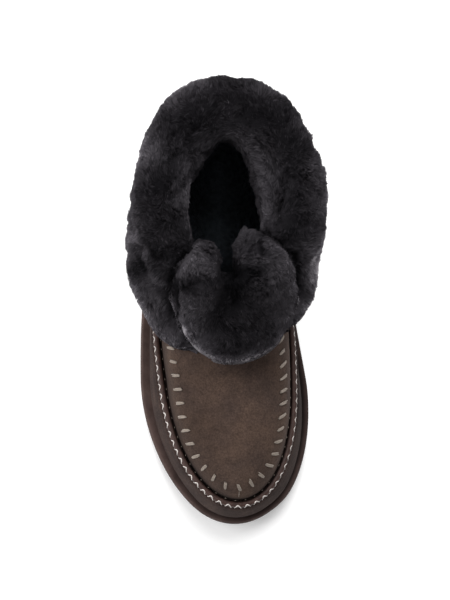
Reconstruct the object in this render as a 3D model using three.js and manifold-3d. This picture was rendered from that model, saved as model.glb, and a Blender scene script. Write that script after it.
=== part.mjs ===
// Platform ankle boot with a turned-down fur cuff, for the right foot.
// Millimetres, +Z up. The toe points to -Y and the inner side of the foot to +X.
import * as THREE from 'three';
import { mergeVertices } from 'three/addons/utils/BufferGeometryUtils.js';
import Module from 'manifold-3d';

const wasm = await Module();
wasm.setup();

// Feather line, where the upper meets the sole
const HEEL_TIP_Y = 117;
const TOE_TIP_Y = -120;
const HEEL_ROUND = 34; // lengths of its elliptical ends
const TOE_ROUND = 80;
const INFLARE = 12.4; // how far the toe swings to the inner side
const INFLARE_FROM_Y = 45;
const INFLARE_POWER = 1.08;

// Heights along the sole
const OUTSOLE_THICK = 11;
const PLATFORM_TOP = 36; // height of the platform's top at the ball
const HEEL_RISE = { high: 7, from: -30, to: 60 };
const TOE_SPRING = { high: 8, from: -58, to: -133 };
const HEEL_BEVEL = { high: 3, from: 104, to: 133 };
const ARCH = { high: 2.5, from: -12, to: 62 };

// Sides of the sole
const WRAP_EDGE = 6.2; // the platform's top edge stands this far out from the feather line
const TREAD = { grooves: 11, from: 108, to: -112, wide: 4, deep: 3, rim: 9 };
const WELT = { start: 0.7, wide: 4.2, high: 3.4 };
const INSOLE = { thick: 6, inset: 4.2 };

// Upper and fur
const ANKLE_Y = 56; // the ankle's upright axis, which the ribs of the upper fan out from
const WALL = 2.6; // suede with its backing
const OBLIQUE_WALL = 1.15; // the wall measures this much more across an oblique rib
const EDGE_ROUND = 14; // length over which the pile rounds off to an edge

// Clearances between pieces that are glued or sewn together
const SEAT_GAP = 0.3;
const FUR_GAP = 0.8;
const FLAP_ROOM = 0.8;

// Fineness
const STATIONS = 28; // along the foot, on each side of it
const REACH_SAMPLES = 300;
const RIB_STEPS = 12;
const SECTION_TURN = 4.6; // degrees between sections of the fur
const HIDE_POINTS = { outside: 9, top: 4, inside: 3 };
const MERGE_WITHIN = 1e-4;

// The foot from heel to toe: half width of the feather line, how far the outsole's rim stands out past it
// on the outer and the inner side, and how far the platform's foot is set back from that rim
const FOOT = [
  { part: 'heel', y: 117, half: 32.5, outer: 11.5, inner: 11.5, step: 4.4 },
  { part: 'seat', y: 83, half: 32.6, outer: 11.5, inner: 11.5, step: 4.8 },
  { part: 'waist', y: 40, half: 34.6, outer: 10.5, inner: 10.3, step: 5 },
  { part: 'outer ball', y: -12, half: 39.8, outer: 11.4, inner: 10.3, step: 5.4 },
  { part: 'inner ball', y: -50, half: 38.9, outer: 14.8, inner: 14.9, step: 5.4 },
  { part: 'toe corner', y: -104, half: 39.4, outer: 13, inner: 15.8, step: 4.2 },
  { part: 'toe', y: -120, half: 39.4, outer: 13.4, inner: 13.4, step: 3.6 },
];

// Side profiles from bottom to top: share of the height, and the setback from the widest line
const OUTSOLE_SIDE = [
  { height: 0, inset: 2 },
  { height: 0.14, inset: 0.6 },
  { height: 0.5, inset: 0 },
  { height: 0.86, inset: 0.5 },
  { height: 1, inset: 1.6 },
];
const INSOLE_SIDE = [
  { height: 0, inset: 0 },
  { height: 0.7, inset: 0 },
  { height: 1, inset: 1.6 },
];
// The platform also has a share of its flare at each height
const PLATFORM_SIDE = [
  { height: 0, flare: 0.8, inset: 0 },
  { height: 0.12, flare: 1, inset: 0 },
  { height: 0.5, flare: 0.72, inset: 0 },
  { height: 0.86, flare: 0.15, inset: 0 },
  { height: 0.97, flare: 0, inset: 0.9 },
  { height: 1, flare: 0, inset: 2.6 },
  { height: 1, flare: 0, inset: 12 },
];
// Half-round section of the welt, as shares of its width and height
const WELT_SECTION = [
  { out: 0.12, up: 0 },
  { out: 0.88, up: 0 },
  { out: 1, up: 0.35 },
  { out: 0.85, up: 0.8 },
  { out: 0.5, up: 1 },
  { out: 0.15, up: 0.85 },
  { out: 0, up: 0.4 },
];

// Ribs of the upper, by their turn in degrees away from the toe, as cubic curves from feather line to collar:
// bulge and rise place the first handle, forward (a share of the rib's way) and drop the second;
// reach and collar are the collar's distance from the ankle axis and its height
const RIBS = [
  { over: 'toe', turn: 0, bulge: 0.4, rise: 47, forward: 0.36, drop: 66, reach: 50, collar: 126 },
  { over: 'ball', turn: 25, bulge: 0.6, rise: 46, forward: 0.38, drop: 62, reach: 47.5, collar: 126.5 },
  { over: 'waist', turn: 55, bulge: 2, rise: 40, forward: 0.2, drop: 45, reach: 42.5, collar: 128 },
  { over: 'ankle', turn: 90, bulge: 2.5, rise: 35, forward: 0, drop: 36, reach: 39.5, collar: 130 },
  { over: 'quarter', turn: 146, bulge: 4, rise: 36, forward: 0.2, drop: 35, reach: 46.5, collar: 133.5 },
  { over: 'heel', turn: 180, bulge: 5, rise: 36, forward: 0.25, drop: 34, reach: 49.5, collar: 136 },
];

// Fur, by the turn in degrees from the toe round by the outer side: depth of the pile inside the collar,
// over its edge, and outside it near the edge (high) and low down; then how far the hide reaches
// from the collar's edge outside (down) and inside (depth)
const CUFF = [
  { place: 'outer end', turn: 10, inside: 5, top: 6, high: 7, low: 8, down: 61, depth: 10 },
  { place: 'outer tuck', turn: 21, inside: 7, top: 8, high: 9, low: 18, down: 69, depth: 14 },
  { place: 'outer corner', turn: 36, inside: 8, top: 10, high: 11, low: 28, down: 66, depth: 20 },
  { place: 'outer front', turn: 52, inside: 10, top: 15, high: 18, low: 31, down: 60, depth: 24 },
  { place: 'outer ankle', turn: 98, inside: 13, top: 18, high: 16, low: 16, down: 56, depth: 26 },
  { place: 'outer quarter', turn: 124, inside: 17, top: 18, high: 15.5, low: 16, down: 56, depth: 26 },
  { place: 'outer heel', turn: 154, inside: 17.5, top: 18, high: 21, low: 22, down: 56, depth: 26 },
  { place: 'heel', turn: 176, inside: 13, top: 18, high: 20.5, low: 21.5, down: 56, depth: 26 },
  { place: 'inner heel', turn: 208, inside: 20.5, top: 18, high: 21, low: 22, down: 56, depth: 26 },
  { place: 'inner quarter', turn: 236, inside: 21, top: 18, high: 16, low: 16.5, down: 56, depth: 26 },
  { place: 'inner ankle', turn: 264, inside: 18, top: 18, high: 18.5, low: 19, down: 56, depth: 26 },
  { place: 'inner front', turn: 310, inside: 14, top: 15, high: 20.5, low: 29, down: 58, depth: 24 },
  { place: 'inner corner', turn: 323, inside: 12, top: 11, high: 14, low: 28.5, down: 60, depth: 20 },
  { place: 'inner tuck', turn: 334, inside: 8, top: 8, high: 9, low: 11, down: 56, depth: 14 },
  { place: 'inner end', turn: 347, inside: 5, top: 6, high: 7, low: 7, down: 46, depth: 10 },
];
const FLAP = [
  { place: 'inner edge', turn: -50, inside: 4, top: 8, high: 14, low: 14, down: 26, depth: 10 },
  { place: 'inner shoulder', turn: -40, inside: 15, top: 18, high: 20, low: 24, down: 48, depth: 14 },
  { place: 'inner flank', turn: -31, inside: 20, top: 19.5, high: 20, low: 24, down: 57, depth: 15 },
  { place: 'inner lobe', turn: -22, inside: 25, top: 20, high: 19, low: 19, down: 60, depth: 16 },
  { place: 'inner lip', turn: -11, inside: 21, top: 17, high: 16, low: 17, down: 60, depth: 14 },
  { place: 'inner notch', turn: -4, inside: 3, top: 4, high: 9, low: 16, down: 60, depth: 10 },
  { place: 'outer notch', turn: 3, inside: 3, top: 4, high: 9, low: 16, down: 60, depth: 10 },
  { place: 'outer lip', turn: 10, inside: 8.5, top: 14, high: 15, low: 16, down: 58, depth: 14 },
  { place: 'outer lobe', turn: 20, inside: 10, top: 18, high: 18, low: 16, down: 54, depth: 16 },
  { place: 'outer shoulder', turn: 29, inside: 9, top: 16, high: 17, low: 16, down: 42, depth: 14 },
  { place: 'outer edge', turn: 37, inside: 3, top: 6, high: 9, low: 12, down: 26, depth: 10 },
];

// Locks of the pile: degrees across one, section points along one, how far a tip is raised and a root sunk;
// then how much the tips differ, by degrees of turn to one wave of it and a step from tier to tier
const LOCK = { turn: 4 * SECTION_TURN, points: 3, high: 3.4, sunk: 1.3, uneven: 0.2, wave: 57, step: 2.3 };

// Helpers
const clamp01 = (t) => Math.min(1, Math.max(0, t));
const mix = (a, b, t) => a + (b - a) * t;
const share = (at, { from, to }) => clamp01((at - from) / (to - from));
const ease = (t) => t ** 2 * (3 - 2 * t);

// Smooth reading of one column of a table, between rows sorted by a key, level at both ends
function read(rows, key, at, column) {
  const way = Math.sign(rows.at(-1)[key] - rows[0][key]);
  const found = rows.findIndex((row) => way * row[key] >= way * at);
  const i = found < 0 ? rows.length - 1 : Math.max(1, found);
  const slope = (j) => {
    if (j === 0 || j === rows.length - 1) return 0;
    return (rows[j + 1][column] - rows[j - 1][column]) / (rows[j + 1][key] - rows[j - 1][key]);
  };
  const [from, to] = [rows[i - 1], rows[i]];
  const span = to[key] - from[key];
  const rise = to[column] - from[column];
  const t = clamp01((at - from[key]) / span);
  const start = slope(i - 1) * span - rise;
  const end = rise - slope(i) * span;
  return from[column] + t * rise + t * (1 - t) * (start * (1 - t) + end * t);
}

// Heights along the foot
const endRise = (y, end) => end.high * share(y, end) ** 2;
const springAt = (y) => endRise(y, TOE_SPRING) + endRise(y, HEEL_BEVEL);
const groundAt = (y) => springAt(y) + ARCH.high * Math.sin(Math.PI * share(y, ARCH)) ** 2;
const footbedAt = (y) => PLATFORM_TOP + springAt(y) + HEEL_RISE.high * ease(share(y, HEEL_RISE));

// The feather line, as one ring from the heel tip along the outer side to the toe tip and back
function halfWidth(y) {
  const heel = share(y, { from: HEEL_TIP_Y - HEEL_ROUND, to: HEEL_TIP_Y });
  const toe = share(y, { from: TOE_TIP_Y + TOE_ROUND, to: TOE_TIP_Y });
  return read(FOOT, 'y', y, 'half') * Math.sqrt((1 - heel ** 2) * (1 - toe ** 2));
}
const centreLine = (y) => INFLARE * share(y, { from: INFLARE_FROM_Y, to: TOE_TIP_Y }) ** INFLARE_POWER;
const ledge = (y, side) => read(FOOT, 'y', y, side);
const stepIn = (y) => read(FOOT, 'y', y, 'step');
function featherRing(stations) {
  const points = [];
  for (let i = 0; i < 2 * stations; i++) {
    const y = mix(TOE_TIP_Y, HEEL_TIP_Y, (1 + Math.cos((Math.PI * i) / stations)) / 2);
    const side = i < stations ? -1 : 1;
    points.push(new THREE.Vector2(centreLine(y) + side * halfWidth(y), y));
  }
  return points;
}
const FEATHER = featherRing(STATIONS);
const FEATHER_NORMALS = FEATHER.map((_, i) => {
  const along = FEATHER[(i + 1) % FEATHER.length].clone().sub(FEATHER.at(i - 1));
  return new THREE.Vector2(along.y, -along.x).normalize();
});

// A ring at an offset from the feather line; offset and height are functions of the place along the foot,
// and offset also of the side
function ringAt(offset, height) {
  return FEATHER.map((p, i) => {
    const side = i < STATIONS ? 'outer' : 'inner';
    const moved = p.clone().addScaledVector(FEATHER_NORMALS[i], offset(p.y, side));
    return new THREE.Vector3(moved.x, moved.y, height(moved.y));
  });
}

// One closed body through loops of equal length, whose first and middle points are tips.
// An open loft is capped by strips across its end loops; a closed one joins its last loop to the first.
function loft(loops, closed) {
  const size = loops[0].length;
  const index = [];
  const quad = (a, b, c, d) => {
    if (a !== b && b !== c) index.push(a, b, c);
    if (c !== d && d !== a) index.push(a, c, d);
  };
  const bands = closed ? loops.length : loops.length - 1;
  for (let j = 0; j < bands; j++) {
    const [low, high] = [j * size, ((j + 1) % loops.length) * size];
    for (let i = 0; i < size; i++) {
      const next = (i + 1) % size;
      quad(low + i, low + next, high + next, high + i);
    }
  }
  const top = (loops.length - 1) * size;
  for (let i = 0; !closed && i < size / 2; i++) {
    const [a, b, c, d] = [i, i + 1, size - i - 1, (size - i) % size];
    quad(d, c, b, a);
    quad(top + a, top + b, top + c, top + d);
  }
  const geometry = new THREE.BufferGeometry().setFromPoints(loops.flat()).setIndex(index);
  return facingOut(geometry);
}
function facingOut(geometry) {
  const at = (i) => new THREE.Vector3().fromBufferAttribute(geometry.attributes.position, i);
  const index = Array.from(geometry.index.array);
  let volume = 0;
  for (let i = 0; i < index.length; i += 3) {
    volume += at(index[i]).dot(at(index[i + 1]).cross(at(index[i + 2])));
  }
  return volume < 0 ? geometry.setIndex(index.reverse()) : geometry;
}

// Joining and cutting
function toSolid(geometry) {
  const bare = geometry.clone();
  bare.deleteAttribute('normal');
  bare.deleteAttribute('uv');
  const merged = mergeVertices(bare, MERGE_WITHIN);
  const vertProperties = merged.attributes.position.array;
  const triVerts = new Uint32Array(merged.index.array);
  return new wasm.Manifold(new wasm.Mesh({ numProp: 3, vertProperties, triVerts }));
}
function toGeometry(solid) {
  const mesh = solid.getMesh();
  const geometry = new THREE.BufferGeometry();
  geometry.setAttribute('position', new THREE.BufferAttribute(mesh.vertProperties, 3));
  return geometry.setIndex(new THREE.BufferAttribute(mesh.triVerts, 1));
}

// Outsole: a rim with a rounded side, and grooves across its tread
function outsole() {
  const rings = OUTSOLE_SIDE.map((row) =>
    ringAt((y, side) => ledge(y, side) - row.inset, (y) => groundAt(y) + row.height * OUTSOLE_THICK),
  );
  let solid = toSolid(loft(rings, false));
  for (let i = 0; i < TREAD.grooves; i++) {
    const y = mix(TREAD.from, TREAD.to, i / (TREAD.grooves - 1));
    const wide = 2 * (halfWidth(y) + Math.min(ledge(y, 'outer'), ledge(y, 'inner')) - TREAD.rim);
    const groove = new THREE.BoxGeometry(wide, TREAD.wide, 2 * TREAD.deep);
    groove.translate(centreLine(y), y, groundAt(y));
    solid = solid.subtract(toSolid(groove));
  }
  return toGeometry(solid);
}

// Platform: the suede-wrapped block between outsole and upper, flared towards its foot
function platform() {
  const low = (y) => groundAt(y) + OUTSOLE_THICK + SEAT_GAP;
  const rings = PLATFORM_SIDE.map((row) =>
    ringAt(
      (y, side) => mix(WRAP_EDGE, ledge(y, side) - stepIn(y), row.flare) - row.inset,
      (y) => mix(low(y), footbedAt(y), row.height),
    ),
  );
  return loft(rings, false);
}

// Welt: a half-round leather strip on the platform's edge, tight round the upper
function welt() {
  const rings = WELT_SECTION.map((row) =>
    ringAt(() => WELT.start + row.out * WELT.wide, (y) => footbedAt(y) + SEAT_GAP + row.up * WELT.high),
  );
  return loft(rings, true);
}

// Insole: a flat pad on the platform, inside the upper
function insole() {
  const rings = INSOLE_SIDE.map((row) =>
    ringAt(() => -INSOLE.inset - row.inset, (y) => footbedAt(y) + SEAT_GAP + row.height * INSOLE.thick),
  );
  return loft(rings, false);
}

// Ribs stand in upright planes through the ankle axis.
// A heading is the angle of such a plane, 0 towards the toe and growing towards the inner side.
const wrapped = (heading) => Math.atan2(Math.sin(heading), Math.cos(heading));
const headingOf = (p) => Math.atan2(p.x, ANKLE_Y - p.y);
const reachOf = (p) => Math.hypot(p.x, p.y - ANKLE_Y);
const FEATHER_REACH = featherRing(REACH_SAMPLES)
  .map((p) => ({ heading: headingOf(p), reach: reachOf(p) }))
  .sort((a, b) => a.heading - b.heading);
function featherReach(heading) {
  const i = FEATHER_REACH.findIndex((row) => row.heading >= wrapped(heading));
  if (i <= 0) return FEATHER_REACH[0].reach;
  const [a, b] = [FEATHER_REACH[i - 1], FEATHER_REACH[i]];
  return mix(a.reach, b.reach, (wrapped(heading) - a.heading) / (b.heading - a.heading));
}
function ribAt(heading, reach) {
  const turn = Math.abs(THREE.MathUtils.radToDeg(wrapped(heading)));
  const row = (column) => read(RIBS, 'turn', turn, column);
  const low = new THREE.Vector2(reach, footbedAt(ANKLE_Y - reach * Math.cos(heading)) + SEAT_GAP);
  const high = new THREE.Vector2(row('reach'), row('collar'));
  const first = new THREE.Vector2(low.x + row('bulge'), low.y + row('rise'));
  const second = new THREE.Vector2(mix(high.x, low.x, row('forward')), high.y - row('drop'));
  return new THREE.CubicBezierCurve(low, first, second, high);
}
function fromRib(heading, p) {
  return new THREE.Vector3(p.x * Math.sin(heading), ANKLE_Y - p.x * Math.cos(heading), p.y);
}

// Upper: one hollow wall from the feather line to the collar, open at both
function upper() {
  const columns = FEATHER.map((p) =>
    ribAt(headingOf(p), reachOf(p))
      .getPoints(RIB_STEPS)
      .map((q) => fromRib(headingOf(p), q)),
  );
  const outer = columns[0].map((_, j) => columns.map((column) => column[j]));
  const inner = outer.map((ring, j) =>
    ring.map((p, i) => {
      const round = ring[(i + 1) % ring.length].clone().sub(ring.at(i - 1));
      const up = outer[Math.min(RIB_STEPS, j + 1)][i].clone().sub(outer[Math.max(0, j - 1)][i]);
      return p.clone().addScaledVector(round.cross(up).normalize(), -WALL);
    }),
  );
  inner[0].forEach((p, i) => p.setZ(outer[0][i].z));
  return loft([...outer, ...inner.reverse()], true);
}

// Fur is a hide folded over the collar with a pile on its outer face, in sections through the ankle axis.
// The hide's line runs from the lower edge outside, up, over the collar's edge and down inside.
function hideAt(rib, down, depth) {
  const length = rib.getLength();
  const wall = new THREE.Path(rib.getPoints(RIB_STEPS));
  const line = [];
  const lay = (side, behind, edge) => {
    const along = rib.getTangentAt(1 - behind / length);
    const normal = new THREE.Vector2(along.y, -along.x).multiplyScalar(side === 'inside' ? -1 : 1);
    const lift = FUR_GAP + (side === 'inside' ? OBLIQUE_WALL * WALL : 0);
    line.push({ at: wall.getPointAt(1 - behind / length).addScaledVector(normal, lift), normal, side, edge });
  };
  for (let i = 0; i <= HIDE_POINTS.outside; i++) {
    const edge = (down * i) / HIDE_POINTS.outside;
    lay('outside', down - edge, edge);
  }
  const face = line.at(-1).normal;
  const rim = rib.getPointAt(1).addScaledVector(face, -WALL / 2);
  for (let i = 1; i < HIDE_POINTS.top; i++) {
    const normal = face.clone().rotateAround(new THREE.Vector2(), (Math.PI * i) / HIDE_POINTS.top);
    const at = rim.clone().addScaledVector(normal, WALL / 2 + FUR_GAP);
    line.push({ at, normal, side: 'top', edge: EDGE_ROUND });
  }
  for (let i = 0; i <= HIDE_POINTS.inside; i++) {
    const edge = depth * (1 - i / HIDE_POINTS.inside);
    lay('inside', depth - edge, edge);
  }
  return line;
}

// Locks lie in staggered tiers along the hide, each rising from its root to a raised tip
function lockAt(turn, point) {
  const tier = Math.floor(point / LOCK.points);
  const tip = 1 - (point % LOCK.points) / (LOCK.points - 1);
  const across = Math.cos(Math.PI * (turn / LOCK.turn + tier / 2)) ** 2;
  const drift = Math.sin((2 * Math.PI * turn) / LOCK.wave + LOCK.step * tier);
  return LOCK.high * tip * across * (1 - LOCK.uneven * (1 - drift)) - LOCK.sunk;
}

// One section of the fur, swollen by grow where it has to leave room for the other piece
function furSection(rows, turn, grow) {
  const heading = THREE.MathUtils.degToRad(-turn);
  const row = (column) => read(rows, 'turn', turn, column);
  const rib = ribAt(heading, featherReach(heading));
  const hide = hideAt(rib, row('down') + 2 * grow, row('depth') + 2 * grow);
  const deep = {
    inside: () => row('inside'),
    top: () => row('top'),
    outside: (edge) => mix(row('low'), row('high'), edge / row('down')),
  };
  const pile = hide.map(({ at, normal, side, edge }, i) => {
    const rounding = Math.sqrt(1 - (1 - clamp01(edge / EDGE_ROUND)) ** 2);
    return at.clone().addScaledVector(normal, (deep[side](edge) + lockAt(turn, i)) * rounding + grow);
  });
  const back = hide.map(({ at, normal }) => at.clone().addScaledVector(normal, -2 * grow));
  return [...back, ...pile.slice(1, -1).reverse()].map((p) => fromRib(heading, p));
}
function furBody(rows, grow = 0) {
  const [first, last] = [rows[0].turn, rows.at(-1).turn];
  const steps = Math.round((last - first) / SECTION_TURN);
  const turns = [first - grow];
  for (let k = 1; k < steps; k++) turns.push(mix(first, last, k / steps));
  turns.push(last + grow);
  return toSolid(loft(turns.map((turn) => furSection(rows, turn, grow)), false));
}

// Fur cuff: the horseshoe collar round the sides and the heel
const furCuff = () => toGeometry(furBody(CUFF));

// Fur flap: the front piece with two lobes, lying over the ends of the cuff
const furFlap = () => toGeometry(furBody(FLAP).subtract(furBody(CUFF, FLAP_ROOM)));

// Assembly, with the origin under the middle of the boot
const SUEDE = { color: 0x4d3f37, roughness: 0.95, metalness: 0 };
const LEATHER = { color: 0x3b2720, roughness: 0.55, metalness: 0 };
const RUBBER = { color: 0x33282a, roughness: 0.8, metalness: 0 };
const FUR = { color: 0x1e1d1f, roughness: 1, metalness: 0 };

const boot = new THREE.Group();
function add(name, geometry, look) {
  const mesh = new THREE.Mesh(geometry, new THREE.MeshStandardMaterial(look));
  mesh.name = name;
  boot.add(mesh);
}
add('outsole', outsole(), RUBBER);
add('platform', platform(), SUEDE);
add('welt', welt(), LEATHER);
add('upper', upper(), SUEDE);
add('insole', insole(), FUR);
add('fur_cuff', furCuff(), FUR);
add('fur_flap', furFlap(), FUR);

const box = new THREE.Box3().setFromObject(boot, true);
const middle = box.getCenter(new THREE.Vector3());
boot.position.set(-middle.x, -middle.y, -box.min.z);

export default boot;
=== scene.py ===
"""Platform ankle boot with a turned-down fur cuff: the looks of its pieces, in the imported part's frame."""

import math

import bpy
import numpy as np
from mathutils import Matrix, Vector
from mathutils.kdtree import KDTree


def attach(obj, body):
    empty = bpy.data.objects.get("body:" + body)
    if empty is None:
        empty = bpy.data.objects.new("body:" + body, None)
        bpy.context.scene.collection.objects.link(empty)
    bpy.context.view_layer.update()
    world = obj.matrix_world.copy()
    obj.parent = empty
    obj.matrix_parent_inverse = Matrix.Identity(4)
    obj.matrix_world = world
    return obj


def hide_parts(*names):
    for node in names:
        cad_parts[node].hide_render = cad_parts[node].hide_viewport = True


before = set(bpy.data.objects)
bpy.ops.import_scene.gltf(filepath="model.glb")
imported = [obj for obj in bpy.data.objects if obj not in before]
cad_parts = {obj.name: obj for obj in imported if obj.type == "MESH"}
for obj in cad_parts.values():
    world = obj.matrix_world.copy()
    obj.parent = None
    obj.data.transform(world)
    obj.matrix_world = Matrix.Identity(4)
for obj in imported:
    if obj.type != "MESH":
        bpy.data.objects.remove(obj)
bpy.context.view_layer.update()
random = np.random.default_rng(7)

# Sizes of the boot in millimetres. The toe points to -Y and the inner side of the foot to +X.
MM = 0.001
CENTRE_SHIFT = np.array([-0.416, -0.662, 0.0])  # from the ankle's axis to the middle of the boot's box
HEEL_TIP_Y = 117.0
TOE_TIP_Y = -120.0
HEEL_ROUND = 34.0
TOE_ROUND = 80.0
INFLARE = 12.4
INFLARE_FROM_Y = 45.0
INFLARE_POWER = 1.08
OUTSOLE_THICK = 11.0
PLATFORM_TOP = 36.0
HEEL_RISE = {"high": 7.0, "from": -30.0, "to": 60.0}
TOE_SPRING = {"high": 8.0, "from": -58.0, "to": -133.0}
HEEL_BEVEL = {"high": 3.0, "from": 104.0, "to": 133.0}
ARCH = {"high": 2.5, "from": -12.0, "to": 62.0}
WRAP_EDGE = 6.2
TREAD = {"grooves": 11, "from": 108.0, "to": -112.0, "wide": 4.0, "deep": 3.0, "rim": 9.0}
WELT = {"start": 0.7, "wide": 4.2, "high": 3.4, "crown": 2.6}
INSOLE = {"thick": 6.0, "inset": 4.2}
ANKLE_Y = 56.0
WALL = 2.6
OBLIQUE_WALL = 1.15
EDGE_ROUND = 14.0
SEAT_GAP = 0.3
FUR_GAP = 0.8

# Fineness of the meshes
RING_POINTS = 360
RIB_POINTS = 91
RIB_FINE = 240
FEATHER_FINE = 1500
REACH_POINTS = 1200
SIDE_STEPS = {"outsole": 30, "platform": 44, "welt": 28}
FUR_TURNS = {"cuff": 361, "flap": 141}
HIDDEN_STEP = 3  # faces that hardly show take every third point
TINY = 1e-9
UP = np.array([0.0, 0.0, 1.0])


def table(names, *rows):
    """Columns of a table whose rows start with the name of a place."""
    columns = zip(*[row[1:] for row in rows])
    return {name: np.array(column, float) for name, column in zip(names.split(), columns)}


FOOT = table(
    "y half outer inner step",
    ("heel", 117, 32.5, 11.5, 11.5, 4.4),
    ("seat", 83, 32.6, 11.5, 11.5, 4.8),
    ("waist", 40, 34.6, 10.5, 10.3, 5),
    ("outer ball", -12, 39.8, 11.4, 10.3, 5.4),
    ("inner ball", -50, 38.9, 14.8, 14.9, 5.4),
    ("toe corner", -104, 39.4, 13, 15.8, 4.2),
    ("toe", -120, 39.4, 13.4, 13.4, 3.6),
)
OUTSOLE_SIDE = table(
    "height inset",
    ("tread edge", 0, 2.2),
    ("lower turn", 0.07, 1.2),
    ("lower side", 0.2, 0.4),
    ("widest", 0.5, 0),
    ("upper side", 0.8, 0.35),
    ("upper turn", 0.94, 1),
    ("ledge", 1, 2),
    ("under the platform", 1, 9),
)
PLATFORM_SIDE = table(
    "height flare inset",
    ("tucked foot", 0, 0.62, 0),
    ("foot", 0.05, 0.88, 0),
    ("low", 0.13, 1, 0),
    ("side", 0.3, 0.92, 0),
    ("middle", 0.5, 0.7, 0),
    ("high", 0.7, 0.42, 0),
    ("shoulder", 0.86, 0.16, 0),
    ("edge", 0.945, 0.02, 0.35),
    ("edge turn", 0.985, 0, 1.3),
    ("top", 1, 0, 2.8),
    ("under the upper", 1, 0, 12),
)
WELT_SECTION = table(
    "out up",
    ("inner foot", 0.1, 0),
    ("outer foot", 0.9, 0),
    ("outer side", 1, 0.3),
    ("outer turn", 0.93, 0.66),
    ("outer top", 0.76, 0.9),
    ("top", 0.5, 1),
    ("inner top", 0.22, 0.92),
    ("inner turn", 0.06, 0.7),
    ("inner side", 0, 0.35),
)
RIBS = table(
    "turn bulge rise forward drop reach collar",
    ("toe", 0, 0.4, 47, 0.36, 66, 50, 126),
    ("ball", 25, 0.6, 46, 0.38, 62, 47.5, 126.5),
    ("waist", 55, 2, 40, 0.2, 45, 42.5, 128),
    ("ankle", 90, 2.5, 35, 0, 36, 39.5, 130),
    ("quarter", 146, 4, 36, 0.2, 35, 46.5, 133.5),
    ("heel", 180, 5, 36, 0.25, 34, 49.5, 136),
)
CUFF = table(
    "turn inside top high low down depth",
    ("outer end", 10, 5, 6, 7, 8, 61, 10),
    ("outer tuck", 21, 7, 8, 9, 18, 69, 14),
    ("outer corner", 36, 8, 10, 11, 28, 66, 20),
    ("outer front", 52, 10, 15, 18, 31, 60, 24),
    ("outer ankle", 98, 13, 18, 16, 16, 56, 26),
    ("outer quarter", 124, 17, 18, 15.5, 16, 56, 26),
    ("outer heel", 154, 17.5, 18, 21, 22, 56, 26),
    ("heel", 176, 13, 18, 20.5, 21.5, 56, 26),
    ("inner heel", 208, 20.5, 18, 21, 22, 56, 26),
    ("inner quarter", 236, 21, 18, 16, 16.5, 56, 26),
    ("inner ankle", 264, 18, 18, 18.5, 19, 56, 26),
    ("inner front", 310, 14, 15, 20.5, 29, 58, 24),
    ("inner corner", 323, 12, 11, 14, 28.5, 60, 20),
    ("inner tuck", 334, 8, 8, 9, 19, 62, 14),
    ("inner end", 347, 5, 6, 7, 7, 46, 10),
)
FLAP = table(
    "turn inside top high low down depth",
    ("inner edge", -50, 4, 8, 14, 14, 26, 10),
    ("inner shoulder", -40, 15, 18, 20, 24, 48, 14),
    ("inner flank", -31, 20, 19.5, 20, 24, 57, 15),
    ("inner lobe", -22, 25, 20, 19, 19, 60, 16),
    ("inner lip", -11, 21, 17, 16, 17, 60, 14),
    ("inner notch", -4, 3, 4, 9, 16, 60, 10),
    ("outer notch", 3, 3, 4, 9, 16, 60, 10),
    ("outer lip", 10, 8.5, 14, 15, 16, 58, 14),
    ("outer lobe", 20, 10, 18, 18, 16, 54, 16),
    ("outer shoulder", 29, 9, 16, 17, 16, 42, 14),
    ("outer edge", 37, 3, 6, 9, 12, 26, 10),
)


# Reading the tables, and the boot's lines

def mix(a, b, t):
    return a + (b - a) * t


def ease(t):
    t = np.clip(t, 0, 1)
    return t * t * (3 - 2 * t)


def share(at, low, high):
    return np.clip((at - low) / (high - low), 0, 1)


def within(at, zone):
    return share(at, zone["from"], zone["to"])


def bell(t):
    return np.exp(-(t**2))


def unit(v):
    return v / np.maximum(np.linalg.norm(v, axis=-1, keepdims=True), TINY)


def read(rows, key, at, column):
    """One column of a table read smoothly between its rows, level at both ends."""
    keys, values = rows[key], rows[column]
    if keys[0] > keys[-1]:
        keys, values = keys[::-1], values[::-1]
    slope = np.zeros_like(values)
    slope[1:-1] = (values[2:] - values[:-2]) / (keys[2:] - keys[:-2])
    i = np.clip(np.searchsorted(keys, at), 1, len(keys) - 1)
    span = keys[i] - keys[i - 1]
    rise = values[i] - values[i - 1]
    t = np.clip((at - keys[i - 1]) / span, 0, 1)
    start = slope[i - 1] * span - rise
    end = rise - slope[i] * span
    return values[i - 1] + t * rise + t * (1 - t) * (start * (1 - t) + end * t)


def run_of(points):
    """Distances along a line of points from its start."""
    return np.concatenate([[0], np.cumsum(np.linalg.norm(np.diff(points, axis=0), axis=1))])


def read_at(at, run, values):
    """Values given at distances along a line, read at other distances."""
    return np.stack([np.interp(at, run, column) for column in values.T], -1)


def spring_at(y):
    toe = TOE_SPRING["high"] * within(y, TOE_SPRING) ** 2
    return toe + HEEL_BEVEL["high"] * within(y, HEEL_BEVEL) ** 2


def ground_at(y):
    return spring_at(y) + ARCH["high"] * np.sin(np.pi * within(y, ARCH)) ** 2


def footbed_at(y):
    return PLATFORM_TOP + spring_at(y) + HEEL_RISE["high"] * ease(within(y, HEEL_RISE))


def half_width(y):
    heel = share(y, HEEL_TIP_Y - HEEL_ROUND, HEEL_TIP_Y)
    toe = share(y, TOE_TIP_Y + TOE_ROUND, TOE_TIP_Y)
    return read(FOOT, "y", y, "half") * np.sqrt((1 - heel**2) * (1 - toe**2))


def centre_line(y):
    return INFLARE * share(y, INFLARE_FROM_Y, TOE_TIP_Y) ** INFLARE_POWER


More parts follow.
